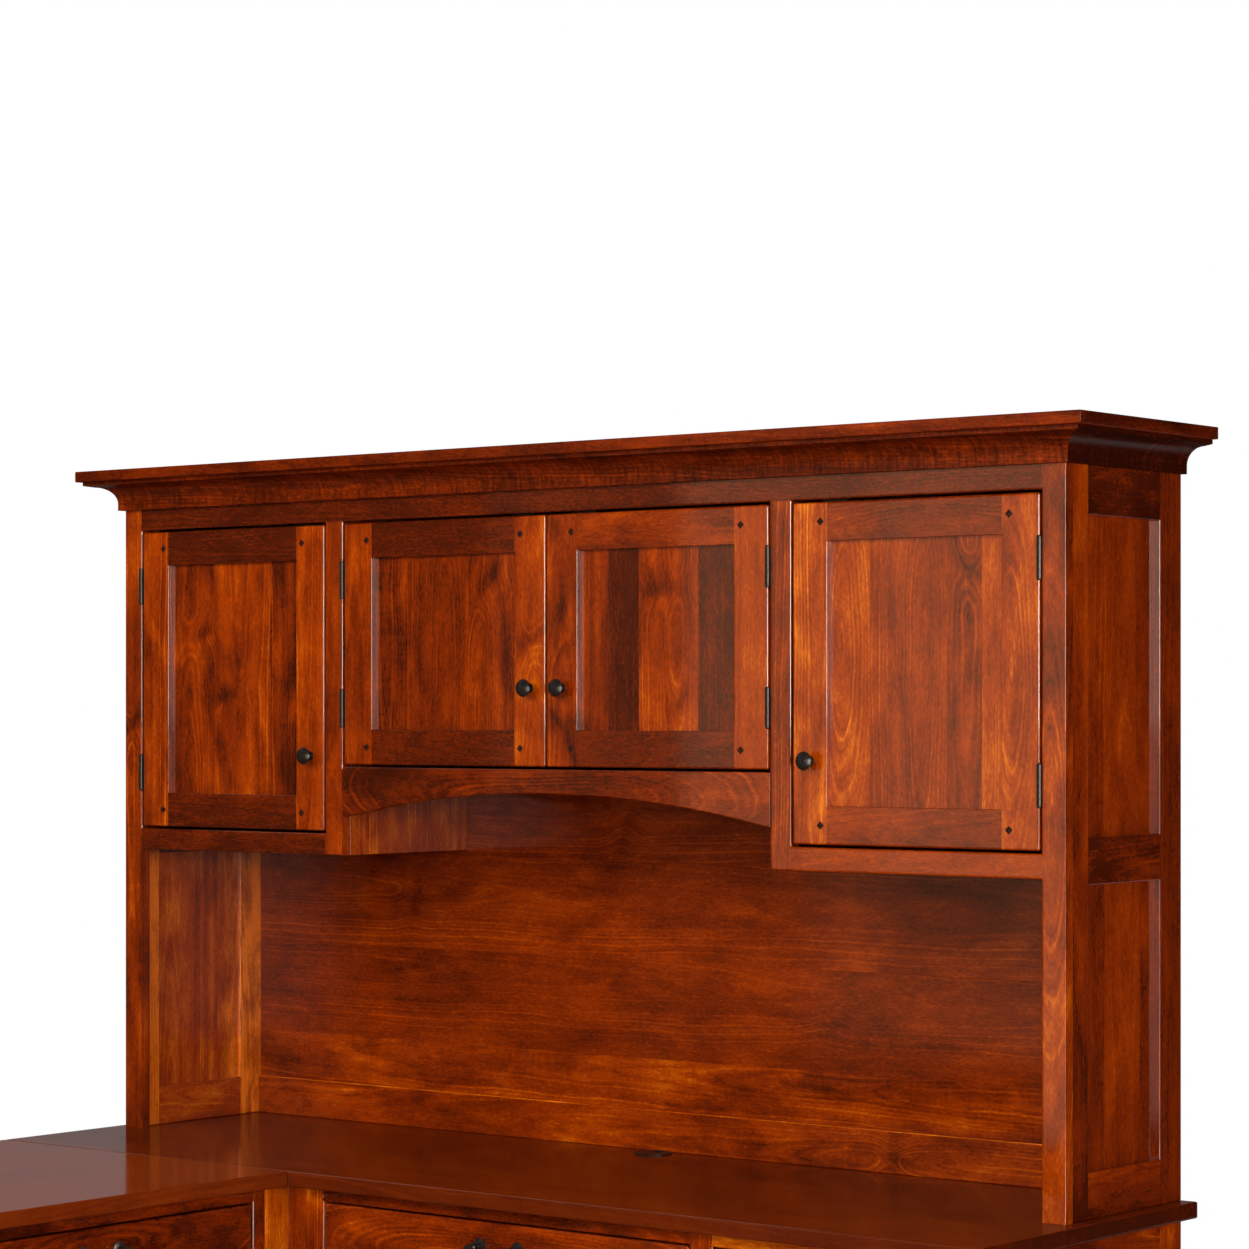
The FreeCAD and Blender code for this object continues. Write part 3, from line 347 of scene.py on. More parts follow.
def framework(normal, front, back, members, ease, glued=(), inner_ease=None, cuts=()):
    """A frame glued up flush: a sheet cut on its members' lines, opened between them, thickened and
    eased. A member is its span along the frame, its span in height, its shade and its grain."""
    facing = "xy".index(normal)
    across = 1 - facing
    spans = cut_lines(edge for member in members for edge in member[0])
    levels = cut_lines([edge for member in members for edge in member[1]] + list(cuts))
    centre = [0.0, 0.0, (levels[0] + levels[-1]) / 2]
    centre[facing] = front
    centre[across] = (spans[0] + spans[-1]) / 2
    turn = (math.pi / 2, 0.0, math.pi / 2 if normal == "x" else 0.0)
    select_only()
    bpy.ops.mesh.primitive_plane_add(size=1, location=centre, rotation=turn)
    sheet = bpy.context.object
    sheet.scale = (spans[-1] - spans[0], levels[-1] - levels[0], 1.0)
    bpy.ops.object.transform_apply(location=True, rotation=True, scale=True)
    bpy.ops.object.mode_set(mode="EDIT")
    saw_lines(across, spans[1:-1])
    saw_lines(2, levels[1:-1])
    bpy.ops.mesh.select_mode(type="FACE")
    bpy.ops.mesh.select_all(action="DESELECT")
    bpy.ops.object.mode_set(mode="OBJECT")

    def outside(member, point):
        (low, high), (foot, head) = member[:2]
        return max(low - point[across], 0, point[across] - high) + max(foot - point.z, 0, point.z - head)

    for face in sheet.data.polygons:
        face.select = min(outside(member, face.center) for member in members) > NEAR
    bpy.ops.object.mode_set(mode="EDIT")
    bpy.ops.mesh.delete(type="FACE")
    bpy.ops.object.mode_set(mode="OBJECT")
    thickness = sheet.modifiers.new("thickness", "SOLIDIFY")
    thickness.thickness = abs(back - front)
    thickness.offset = -1.0
    bpy.ops.object.modifier_apply(modifier=thickness.name)
    if inner_ease:
        outline = [(across, spans[0]), (across, spans[-1]), (2, levels[0]), (2, levels[-1])]
        ease_arrises(sheet, ease, glued, only=outline)
        ease_arrises(sheet, inner_ease, glued)
    else:
        ease_arrises(sheet, ease, glued)

    mesh = sheet.data
    add_grain_layers(mesh)
    owned = [[] for member in members]
    for face in mesh.polygons:
        gaps = [outside(member, face.center) for member in members]
        owned[gaps.index(min(gaps))].append(face)
    for member, faces in zip(members, owned):
        (u0, u1), (z0, z1), shade = member[:3]
        low = [0.0, 0.0, z0]
        high = [0.0, 0.0, z1]
        low[across], high[across] = u0, u1
        low[facing], high[facing] = min(front, back), max(front, back)
        lay_grain(mesh, faces, low, high, shade, **dict(*member[3:]))
    return sheet


SMOOTH_ANGLE = math.radians(35)


def put_together(name, node, boards, finish=stained_maple, body="desk"):
    """Joins the boards of one piece, finishes it, and puts it in the place of its CAD node."""
    select_only(*boards)
    if len(boards) > 1:
        bpy.ops.object.join()
    piece = bpy.context.object
    piece.name = name
    piece.data.name = name
    bpy.ops.object.shade_smooth_by_angle(angle=SMOOTH_ANGLE)
    flat = piece.modifiers.new("flat_faces", "WEIGHTED_NORMAL")
    flat.keep_sharp = True
    bpy.ops.object.modifier_apply(modifier=flat.name)
    piece.data.materials.clear()
    piece.data.materials.append(finish)
    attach(piece, body)
    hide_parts(node)


FOOT = 0.006
TOP_UNDERSIDE = 0.737
OPENING_TOP = 0.716
PEDESTAL_FLOOR = 0.108
WALL_LIFT = 0.040
DIVIDER = (0.476, 0.496)
CASE_LEFT, CASE_RIGHT = -0.965, 0.965
RETURN_FACE = -0.344
MAIN_FACE = 0.334
MAIN_KNEE = (-0.265, 0.469)
MAIN_BAY = (0.510, 0.925)
RETURN_KNEE = (-0.397, 0.255)
RETURN_BAY = (-0.838, -0.438)
RETURN_STILE = 0.282
RETURN_END = -0.878
standing = (FOOT, TOP_UNDERSIDE)
under_top = (OPENING_TOP, TOP_UNDERSIDE)
pedestal_foot = (WALL_LIFT, PEDESTAL_FLOOR)
main_members = [((RETURN_FACE, MAIN_KNEE[0]), standing, 0.50),
                ((MAIN_KNEE[1], MAIN_BAY[0]), standing, 0.42),
                ((MAIN_BAY[1], CASE_RIGHT), standing, 0.42),
                (MAIN_KNEE, under_top, 0.25), (MAIN_BAY, under_top, 0.75),
                (MAIN_BAY, DIVIDER, 0.42), (MAIN_BAY, pedestal_foot, 0.32)]
return_members = [((RETURN_STILE, MAIN_FACE + FRAME_THICK), standing, 0.78, {"cut": "rift"}),
                  ((RETURN_KNEE[1], RETURN_STILE), standing, 0.32),
                  ((RETURN_BAY[1], RETURN_KNEE[0]), standing, 0.42),
                  ((RETURN_END, RETURN_BAY[0]), standing, 0.52),
                  (RETURN_KNEE, under_top, 0.22), (RETURN_BAY, under_top, 0.42),
                  (RETURN_BAY, DIVIDER, 0.42), (RETURN_BAY, pedestal_foot, 0.32)]
main_back = MAIN_FACE + FRAME_THICK
return_back = RETURN_FACE - FRAME_THICK
main_face_frame = framework("y", MAIN_FACE, main_back, main_members, FRAME_EASE, [(1, main_back)])
return_face_frame = framework("x", RETURN_FACE, return_back, return_members, FRAME_EASE,
                              [(0, return_back)])
put_together("desk_face_frame_boards", "desk_face_frames", [main_face_frame, return_face_frame])

# The desk's outer walls: frames of stiles and rails like the faces, with flat panels of glued
# strips held in grooves, on both ends, the back, and the return's back and end.
CASE_BACK = 0.897
WALL_STILE = 0.064
END_STILE = 0.042
WALL_RAIL = 0.068
BACK_BAYS = 4
RETURN_BAYS = 3
PANEL_SETBACK = 0.009
PANEL_THICK = 0.006
PANEL_EASE = 0.0006
GROOVE = 0.008
STRIP_WIDTH = 0.085
STRIP_SHARES = (0.7, 1.4)
STRIP_SHADES = (0.32, 0.42, 0.32, 0.22, 0.52, 0.42)
RIFT_CHANCE = 0.4
FRAME_SHADES = (0.42, 0.32, 0.52, 0.32, 0.42)
wall_rails = [pedestal_foot, (TOP_UNDERSIDE - WALL_RAIL, TOP_UNDERSIDE)]


def block(low, high):
    """A square block between two corners, at its place, with its object at the origin."""
    select_only()
    centre = [(a + b) / 2 for a, b in zip(low, high)]
    bpy.ops.mesh.primitive_cube_add(size=1, location=centre)
    solid = bpy.context.object
    solid.scale = [b - a for a, b in zip(low, high)]
    bpy.ops.object.transform_apply(location=True, rotation=False, scale=True)
    return solid


def between(low, high, axis, near, far):
    """A box's two corners, with other limits along one axis."""
    corners = list(low), list(high)
    corners[0][axis], corners[1][axis] = near, far
    return corners


def saw_apart(axis, edges):
    """Marks the active piece off into boards that meet edge to edge along one axis."""
    bpy.ops.object.mode_set(mode="EDIT")
    saw_lines(axis, edges[1:-1])
    bpy.ops.object.mode_set(mode="OBJECT")


def glued_panel(low, high, strips):
    """A panel of strips glued edge to edge: each strip's share of the width, its shade and its grain."""
    panel = block(low, high)
    sizes = [high[axis] - low[axis] for axis in range(3)]
    across = 0 if sizes[0] > sizes[1] else 1
    total = sum(strip[0] for strip in strips)
    edges = [low[across]]
    for strip in strips:
        edges.append(edges[-1] + sizes[across] * strip[0] / total)
    ease_arrises(panel, PANEL_EASE, steps=2)
    saw_apart(across, edges)
    mesh = panel.data
    add_grain_layers(mesh)
    for near, far, strip in zip(edges, edges[1:], strips):
        faces = [face for face in mesh.polygons if near <= face.center[across] < far]
        corners = between(low, high, across, near, far)
        lay_grain(mesh, faces, *corners, strip[1], **dict(*strip[2:]))
    return panel


def chance_strips(width):
    """Strips of uneven width and shade for a panel that has no special figure."""
    strips = []
    for number in range(max(2, round(width / STRIP_WIDTH))):
        share = chance.uniform(*STRIP_SHARES)
        shade = chance.choice(STRIP_SHADES)
        cut = "rift" if chance.random() < RIFT_CHANCE else "flat"
        strips.append((share, shade, {"cut": cut}))
    return strips


def panelled_wall(normal, front, back, inward, stiles, glued):
    """One framed wall and the panels between its stiles and rails."""
    members = [(stile, standing, chance.choice(FRAME_SHADES)) for stile in stiles]
    panels = []
    facing = "xy".index(normal)
    across = 1 - facing
    outer = min(front, back) if inward > 0 else max(front, back)
    sheet_near = outer + inward * PANEL_SETBACK
    sheet = sorted((sheet_near, sheet_near + inward * PANEL_THICK))
    for left, right in zip(stiles, stiles[1:]):
        for rail in wall_rails:
            members.append(((left[1], right[0]), rail, chance.choice(FRAME_SHADES)))
        for lower, upper in zip(wall_rails, wall_rails[1:]):
            low = [0.0, 0.0, lower[1] - GROOVE]
            high = [0.0, 0.0, upper[0] + GROOVE]
            low[across], high[across] = left[1] - GROOVE, right[0] + GROOVE
            low[facing], high[facing] = sheet
            panels.append(glued_panel(low, high, chance_strips(high[across] - low[across])))
    return framework(normal, front, back, members, FRAME_EASE, glued, REBATE_EASE), panels


def even_stiles(first, last, bays):
    """Stile limits that share a wall out into equal bays."""
    step = (last - first - WALL_STILE) / bays
    return [(first + step * bay, first + step * bay + WALL_STILE) for bay in range(bays + 1)]


back_stile = (CASE_BACK - WALL_STILE, CASE_BACK)
inner_left = CASE_LEFT + FRAME_THICK
inner_right = CASE_RIGHT - FRAME_THICK
inner_back = CASE_BACK - FRAME_THICK
return_inner = RETURN_END + FRAME_THICK
walls = [("x", CASE_RIGHT, inner_right, -1, [(main_back, main_back + END_STILE), back_stile],
          [(1, main_back)]),
         ("x", inner_left, CASE_LEFT, 1, [(MAIN_FACE, MAIN_FACE + WALL_STILE), back_stile],
          [(1, MAIN_FACE)]),
         ("y", inner_back, CASE_BACK, -1, even_stiles(inner_left, inner_right, BACK_BAYS),
          [(0, inner_left), (0, inner_right)]),
         ("x", inner_left, CASE_LEFT, 1, even_stiles(return_inner, MAIN_FACE, RETURN_BAYS),
          [(1, return_inner), (1, MAIN_FACE)]),
         ("y", RETURN_END, return_inner, 1, even_stiles(CASE_LEFT, return_back, 1),
          [(0, return_back)])]
wall_frames = []
wall_panels = []
for wall in walls:
    frame_boards, panels = panelled_wall(*wall)
    wall_frames.append(frame_boards)
    wall_panels += panels
put_together("desk_wall_frame_boards", "desk_wall_frames", wall_frames)
put_together("desk_wall_panel_boards", "desk_wall_panels", wall_panels)

# The worktops: 25 mm slabs of maple boards glued edge to edge, stained darker and evener than
# the case, rubbed out to a gloss, and butted where the return meets the main table.
TOP_EASE = 0.003
TOP_BOARDS = 6
HOLE_RADIUS = 0.029
DRILL_LENGTH = 0.2
HAIR = 0.00001
# The rim is stained darker than the top: painted shade.
PAINTED_RIM_SHADE = -0.14
MAIN_SHADES = (0.74, 0.66)
RETURN_SHADES = (1.0, 0.95)
WORKTOP_STAIN = ((30, 9, 4), (52, 16, 5), (78, 24, 5), (104, 36, 6), (132, 52, 12))
worktop_maple = wood_finish("worktop_maple", WORKTOP_STAIN, contrast=0.40, lacquer=0.5,
                            lacquer_roughness=0.11, bump=0.03)


def slab(node, across):
    """A worktop of boards glued edge to edge, rounded over all round, a hair inside its solid."""
    low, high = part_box(node)
    top = block([corner + HAIR for corner in low], [corner - HAIR for corner in high])
    ease_arrises(top, TOP_EASE, steps=4)
    step = (high[across] - low[across]) / TOP_BOARDS
    edges = [low[across] + step * number for number in range(TOP_BOARDS + 1)]
    saw_apart(across, edges)
    return top, edges


def grain_slab(top, node, across, edges, shades):
    """Lays the grain of a worktop's boards. The rim is stained darker than the top, as painted shade."""
    mesh = top.data
    add_grain_layers(mesh)
    for near, far in zip(edges, edges[1:]):
        corners = between(*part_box(node), across, near, far)
        shade = chance.choice(shades)
        faces = [face for face in mesh.polygons if near <= face.center[across] < far]
        rim = [face for face in faces if abs(face.normal.z) < FACING]
        lay_grain(mesh, faces, *corners, shade)
        lay_grain(mesh, rim, *corners, shade + PAINTED_RIM_SHADE)


main_top, main_edges = slab("desk_main_top", 1)
sleeve_low, sleeve_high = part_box("grommet_sleeve")
hole_place = ((sleeve_low.x + sleeve_high.x) / 2, (sleeve_low.y + sleeve_high.y) / 2, TOP_UNDERSIDE)
select_only()
bpy.ops.mesh.primitive_cylinder_add(vertices=64, radius=HOLE_RADIUS, depth=DRILL_LENGTH,
                                    location=hole_place)
drill = bpy.context.object
hole = main_top.modifiers.new("hole", "BOOLEAN")
hole.object = drill
hole.operation = "DIFFERENCE"
hole.solver = "EXACT"
select_only(main_top)
bpy.ops.object.modifier_apply(modifier=hole.name)
bpy.data.objects.remove(drill)
grain_slab(main_top, "desk_main_top", 1, main_edges, MAIN_SHADES)
put_together("main_worktop", "desk_main_top", [main_top], worktop_maple)
return_top, return_edges = slab("desk_return_top", 0)
grain_slab(return_top, "desk_return_top", 0, return_edges, RETURN_SHADES)
put_together("return_worktop", "desk_return_top", [return_top], worktop_maple)

# The drawers: a solid maple front with rounded edges, screwed to a box of four clear-lacquered
# maple sides with a bottom let into them.
BOX_SIDE = 0.012
BOX_BOTTOM = (0.008, 0.014)
BOX_SHADE = 0.42
BOTTOM_SHADE = 0.52
BOTTOM_EASE = 0.0005
SAWN_EASE = 0.0008
FRONT_EASE = 0.003
DRAWERS = {"main_pencil_drawer": 0.38, "main_upper_drawer": 0.42, "main_file_drawer": 0.42,
           "return_pencil_drawer": 0.34, "return_upper_drawer": 0.52, "return_file_drawer": 0.42}
CLEAR_LACQUER = ((150, 105, 66), (186, 142, 96), (212, 172, 124), (228, 194, 150))
drawer_maple = wood_finish("drawer_maple", CLEAR_LACQUER, lacquer=0.2, lacquer_roughness=0.2, bump=0.08)


def timber(low, high, shade, ease, **grain):
    """One loose board, sawn to size and eased."""
    board = block(low, high)
    ease_arrises(board, ease)
    add_grain_layers(board.data)
    lay_grain(board.data, board.data.polygons, low, high, shade, **grain)
    return board


for drawer, shade in DRAWERS.items():
    low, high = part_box(f"{drawer}_front")
    face_board = timber(low, high, shade, FRONT_EASE, cut="oval")
    put_together(f"{drawer}_face_board", f"{drawer}_front", [face_board], body=drawer)
    low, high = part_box(f"{drawer}_box")
    run = 1 if drawer.startswith("main") else 0
    side = 1 - run
    within = between(low, high, side, low[side] + BOX_SIDE, high[side] - BOX_SIDE)
    boards = []
    for axis, corners in ((side, (low, high)), (run, within)):
        for near, far in ((low[axis], low[axis] + BOX_SIDE), (high[axis] - BOX_SIDE, high[axis])):
            boards.append(timber(*between(*corners, axis, near, far), BOX_SHADE, SAWN_EASE))
    bottom = between(*within, run, low[run] + BOX_SIDE, high[run] - BOX_SIDE)
    bottom = between(*bottom, 2, low.z + BOX_BOTTOM[0], low.z + BOX_BOTTOM[1])
    boards.append(timber(*bottom, BOTTOM_SHADE, BOTTOM_EASE))
    put_together(f"{drawer}_box_boards", f"{drawer}_box", boards, drawer_maple, drawer)

# The hutch's ends: a framed wall each, with a middle rail behind the cabinets' floors and two
# flat panels, glued to the back of the face frame's posts.
HUTCH_FOOT = 0.762
HUTCH_HEAD = 1.8985
HUTCH_FACE = 0.567
HUTCH_BACK = 0.897
CROWN_SEAT = 1.849
END_TOP_RAIL = 0.071
END_MID_RAIL = (1.2445, 1.3125)
END_BASE_RAIL = (0.762, 0.830)
hutch_inner = HUTCH_FACE + FRAME_THICK
end_front = (hutch_inner, hutch_inner + END_STILE)
end_back = (HUTCH_BACK - WALL_STILE, HUTCH_BACK)
end_span = (end_front[1], end_back[0])
end_height = (HUTCH_FOOT, HUTCH_HEAD)
end_top = (CROWN_SEAT - END_TOP_RAIL, HUTCH_HEAD)
quiet = {"lively": 0.6}
quiet_rift = {"cut": "rift", "lively": 0.6}
even_rift = {"cut": "rift", "lively": 0.7}
# The left end's stiles and base rail are stained paler as painted light on the inside of that end; the
# stiles' outside faces take a darker tone.
left_end = [(end_front, end_height, 0.95, {"cut": "rift", "lively": 1.4, "outside": -0.5}),
            (end_back, end_height, 0.92, {"lively": 1.5, "outside": -0.47}),
            (end_span, END_BASE_RAIL, 0.54), (end_span, END_MID_RAIL, 0.32), (end_span, end_top, 0.22)]
# The right end's front stile grows paler towards its top: painted shade, darker towards its foot.
right_end = [(end_front, end_height, 0.41, {"cut": "rift", "paler": 0.34, "lively": 0.8}),
             (end_back, end_height, 0.33, quiet_rift),
             (end_span, END_BASE_RAIL, 0.37), (end_span, END_MID_RAIL, 0.26, {"cut": "arched"}),
             (end_span, end_top, 0.16)]
end_glue = [(1, hutch_inner)]
end_frames = [framework("x", inner_left, CASE_LEFT, left_end, FRAME_EASE, end_glue, REBATE_EASE),
              framework("x", CASE_RIGHT, inner_right, right_end, FRAME_EASE, end_glue, REBATE_EASE)]
put_together("hutch_end_frame_boards", "hutch_end_frames", end_frames)
# The left end's lower panel is stained paler as painted light on the inside of that end.
end_strips = {-1: [[(2, 0.66), (3, 0.56, {"cut": "rift"}), (2, 0.66)],
                   [(3, 0.32), (2, 0.42)]],
              1: [[(2, 0.36, even_rift), (3, 0.45, quiet), (1.5, 0.38, quiet)],
                  [(2, 0.38, even_rift), (3, 0.46, quiet), (2, 0.40, quiet_rift)]]}
openings = [(END_BASE_RAIL[1], END_MID_RAIL[0]), (END_MID_RAIL[1], end_top[0])]
end_panels = []
for side in (-1, 1):
    outer_face = CASE_LEFT if side < 0 else CASE_RIGHT
    near = outer_face - side * PANEL_SETBACK
    far = near - side * PANEL_THICK
    for (foot, head), strips in zip(openings, end_strips[side]):
        low = (min(near, far), end_span[0] - GROOVE, foot - GROOVE)
        high = (max(near, far), end_span[1] + GROOVE, head + GROOVE)
        end_panels.append(glued_panel(low, high, strips))
put_together("hutch_end_panel_boards", "hutch_end_panels", end_panels)

# The hutch's back: wide maple boards laid across behind the cabinets and the open bay, above a
# thicker base rail that stands on the worktop, its top arris stained paler as a painted highlight.
BACK_BOARD = 0.164
BACK_FACE = 0.885
BACK_THICK = 0.006
BACK_RAIL_TOP = 0.830
BACK_RAIL_FACE = 0.879
RAIL_EASE = 0.0018
PLANK_EASE = 0.0003
RAIL_SHADE = 0.44
RAIL_KNOT = (0.74, 0.5, 80)
# The rail's top arris is stained paler: a painted highlight.
PAINTED_HIGHLIGHT_SHADE = 0.72
PAINTED_HIGHLIGHT_SLOPE = 0.2
hidden_plank = (0.32, quiet)
BACK_PLANKS = (hidden_plank, hidden_plank, hidden_plank,
               (0.39, {"lively": 0.7, "knot": (0.45, 0.3, 70)}),
               (0.42, {"lively": 0.7, "knot": (0.20, 0.6, 80)}),
               (0.36, {"lively": 0.6, "knot": (0.68, 0.5, 30)}),
               (0.45, {"lively": 1.1, "curl": 0.12}))
rail_low = (inner_left, BACK_RAIL_FACE, HUTCH_FOOT)
rail_high = (inner_right, HUTCH_BACK, BACK_RAIL_TOP)
base_rail = timber(rail_low, rail_high, RAIL_SHADE, RAIL_EASE, knot=RAIL_KNOT)
painted_highlight_faces = [face for face in base_rail.data.polygons
          if -face.normal.y > PAINTED_HIGHLIGHT_SLOPE and face.normal.z > PAINTED_HIGHLIGHT_SLOPE]
lay_grain(base_rail.data, painted_highlight_faces, rail_low, rail_high, PAINTED_HIGHLIGHT_SHADE)
back_boards = [base_rail]
upper = HUTCH_HEAD
for shade, grain in BACK_PLANKS:
    lower = max(upper - BACK_BOARD, BACK_RAIL_TOP)
    plank_low = (inner_left, BACK_FACE, lower)
    plank_high = (inner_right, BACK_FACE + BACK_THICK, upper)
    back_boards.append(timber(plank_low, plank_high, shade, PLANK_EASE, **grain))
    upper = lower
satin_maple = wood_finish("satin_maple", CHERRY_STAIN, lacquer=0.36, lacquer_roughness=0.10)
put_together("hutch_back_planks", "hutch_back_boards", back_boards, satin_maple)

# The cabinets' inner boards: two upright partitions behind the mid stiles, a floor and a ceiling
# in each of the three cabinets, and one loose shelf in each.
BOARD_THICK = 0.018
DOOR_HEAD = 1.8125
OUTER_SILL = 1.290
CENTRE_SILL = 1.402
STILE_FOOT = 1.2535
MID_STILES = ((-0.482, -0.443), (0.443, 0.482))
CEILING = 1.8305
SHELF_FRONT = 0.593
SHELF_EASE = 0.0015
SHELF_SHADE = 0.42
CARCASS_SHADE = 0.32
PALE_PARTITION_SHADE = 0.55
left_wall = MID_STILES[0][1] - BOARD_THICK
right_wall = MID_STILES[1][0] + BOARD_THICK
cabinets = [(inner_left, left_wall, OUTER_SILL), (MID_STILES[0][1], MID_STILES[1][0], CENTRE_SILL),
            (right_wall, inner_right, OUTER_SILL)]
partitions = [(left_wall, MID_STILES[0][1], PALE_PARTITION_SHADE),
              (MID_STILES[1][0], right_wall, CARCASS_SHADE)]
inner_maple = wood_finish("inner_maple", CHERRY_STAIN, contrast=0.6, lacquer=0.2, lacquer_roughness=0.25,
                          bump=0.08)
carcass = []
for x0, x1, shade in partitions:
    carcass.append(timber((x0, hutch_inner, STILE_FOOT), (x1, BACK_FACE, HUTCH_HEAD), shade, SAWN_EASE))
shelves = []
for x0, x1, sill in cabinets:
    for foot, head in ((sill - BOARD_THICK, sill), (CEILING, CEILING + BOARD_THICK)):
        carcass.append(timber((x0, hutch_inner, foot), (x1, BACK_FACE, head), CARCASS_SHADE, SAWN_EASE))
    level = (sill + DOOR_HEAD) / 2
    shelf_low = (x0, SHELF_FRONT, level - BOARD_THICK / 2)
    shelf_high = (x1, BACK_FACE, level + BOARD_THICK / 2)
    shelves.append(timber(shelf_low, shelf_high, SHELF_SHADE, SHELF_EASE))
put_together("hutch_carcass_boards", "hutch_cabinet_boards", carcass)
put_together("hutch_shelf_boards", "hutch_shelves", shelves, inner_maple)

# The hutch's face frame: two posts, a head rail, two mid stiles and a sill rail under each outer
# door, and the valance that is sawn to a shallow arch between the mid stiles.
POST_WIDTH = 0.040
CORNER_EASE = 0.0005
OPENING_EASE = 0.003
VALANCE_SHADE = 0.28
VALANCE_GRAIN = {"cut": "oval", "paler": 0.22, "lively": 0.8}
MERGE_DISTANCE = 0.00001
FLAT_ANGLE = math.radians(0.5)
posts = ((CASE_LEFT, CASE_LEFT + POST_WIDTH), (CASE_RIGHT - POST_WIDTH, CASE_RIGHT))
rail_span = (posts[0][1], posts[1][0])
sill_height = (STILE_FOOT, OUTER_SILL)
stile_height = (STILE_FOOT, DOOR_HEAD)
face_members = [(posts[0], end_height, 0.44, {"knot": (0.62, 0.3, 60)}),
                (posts[1], end_height, 0.50, {"cut": "arched", "paler": -0.26}),
                # The head rail is stained dark partly as painted shadow from the crown above it, and grows
                # paler to the right as painted light and sheen.
                (rail_span, (DOOR_HEAD, HUTCH_HEAD), 0.20, {"lively": 0.45, "paler": 0.10}),
                (MID_STILES[0], stile_height, 0.41, {"cut": "rift"}),
                (MID_STILES[1], stile_height, 0.38, {"cut": "rift"}),
                ((posts[0][1], MID_STILES[0][0]), sill_height, 0.23, {"lively": 0.6}),
                ((MID_STILES[1][1], posts[1][0]), sill_height, 0.44, {"lively": 0.5})]
frame_glue = [(1, hutch_inner), (2, HUTCH_HEAD), (0, MID_STILES[0][1], CENTRE_SILL),
              (0, posts[0][1], STILE_FOOT)]
face_frame = framework("y", HUTCH_FACE, hutch_inner, face_members, CORNER_EASE, frame_glue, OPENING_EASE,
                       [CENTRE_SILL])
put_together("hutch_face_frame_boards", "hutch_face_frame", [face_frame])


def cad_copy(node):
    """A copy of a CAD node's mesh with its loose triangles merged into plain faces."""
    copy = bpy.data.objects.new(f"{node}_copy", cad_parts[node].data.copy())
    bpy.context.scene.collection.objects.link(copy)
    select_only(copy)
    bpy.ops.object.mode_set(mode="EDIT")
    bpy.ops.mesh.select_all(action="SELECT")
    bpy.ops.mesh.remove_doubles(threshold=MERGE_DISTANCE)
    bpy.ops.mesh.dissolve_limited(angle_limit=FLAT_ANGLE)
    bpy.ops.object.mode_set(mode="OBJECT")
    return copy


valance = cad_copy("arched_valance")
ease_arrises(valance, FRAME_EASE)
add_grain_layers(valance.data)
lay_grain(valance.data, valance.data.polygons, *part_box("arched_valance"), VALANCE_SHADE, **VALANCE_GRAIN)
put_together("valance_board", "arched_valance", [valance])

# The crown: three lengths of coved moulding mitred round the front and ends of the hutch, and a
# flat cap board on top of them with its ends lipped. Both are left at a satin finish.
crown_low, crown_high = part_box("crown_moulding")
CAP_LIPPING = 0.040
CROWN_REACH = 0.063
CROWN_LIP = 0.0095
CROWN_LIP_HEIGHT = 0.012
COVE_RADIUS = 0.0285
CROWN_SLOPE = 0.0025
CROWN_FILLET = 0.0065
CROWN_FILLET_SETBACK = 0.010
COVE_STEPS = 14
PEN_POINT = 0.001
COVE_SHADES = {0: 0.20, -1: 0.20, 1: 0.0}
CAP_SHADE = 0.27
CAP_END_SHADE = 0.20
CAP_EASE = 0.0018


def draw_profile(start, strokes):
    """Draws an outline in edit mode from one point, by straight strokes and quarter turns."""
    select_only()
    bpy.ops.mesh.primitive_plane_add(size=PEN_POINT, location=start)
    bpy.ops.object.transform_apply(location=True, rotation=True, scale=True)
    bpy.ops.object.mode_set(mode="EDIT")
    bpy.ops.mesh.select_mode(type="VERT")
    bpy.ops.mesh.select_all(action="SELECT")
    bpy.ops.mesh.merge(type="CENTER")
    for stroke in strokes:
        if len(stroke) == 3:
            bpy.ops.mesh.extrude_region_move(TRANSFORM_OT_translate={"value": stroke})
        else:
            centre, axis, angle, steps = stroke
            bpy.ops.mesh.spin(steps=steps, angle=angle, center=centre, axis=axis)
    bpy.ops.mesh.select_all(action="SELECT")
    bpy.ops.mesh.remove_doubles(threshold=MERGE_DISTANCE)
    bpy.ops.mesh.select_all(action="SELECT")
    bpy.ops.mesh.edge_face_add()
    return bpy.context.object


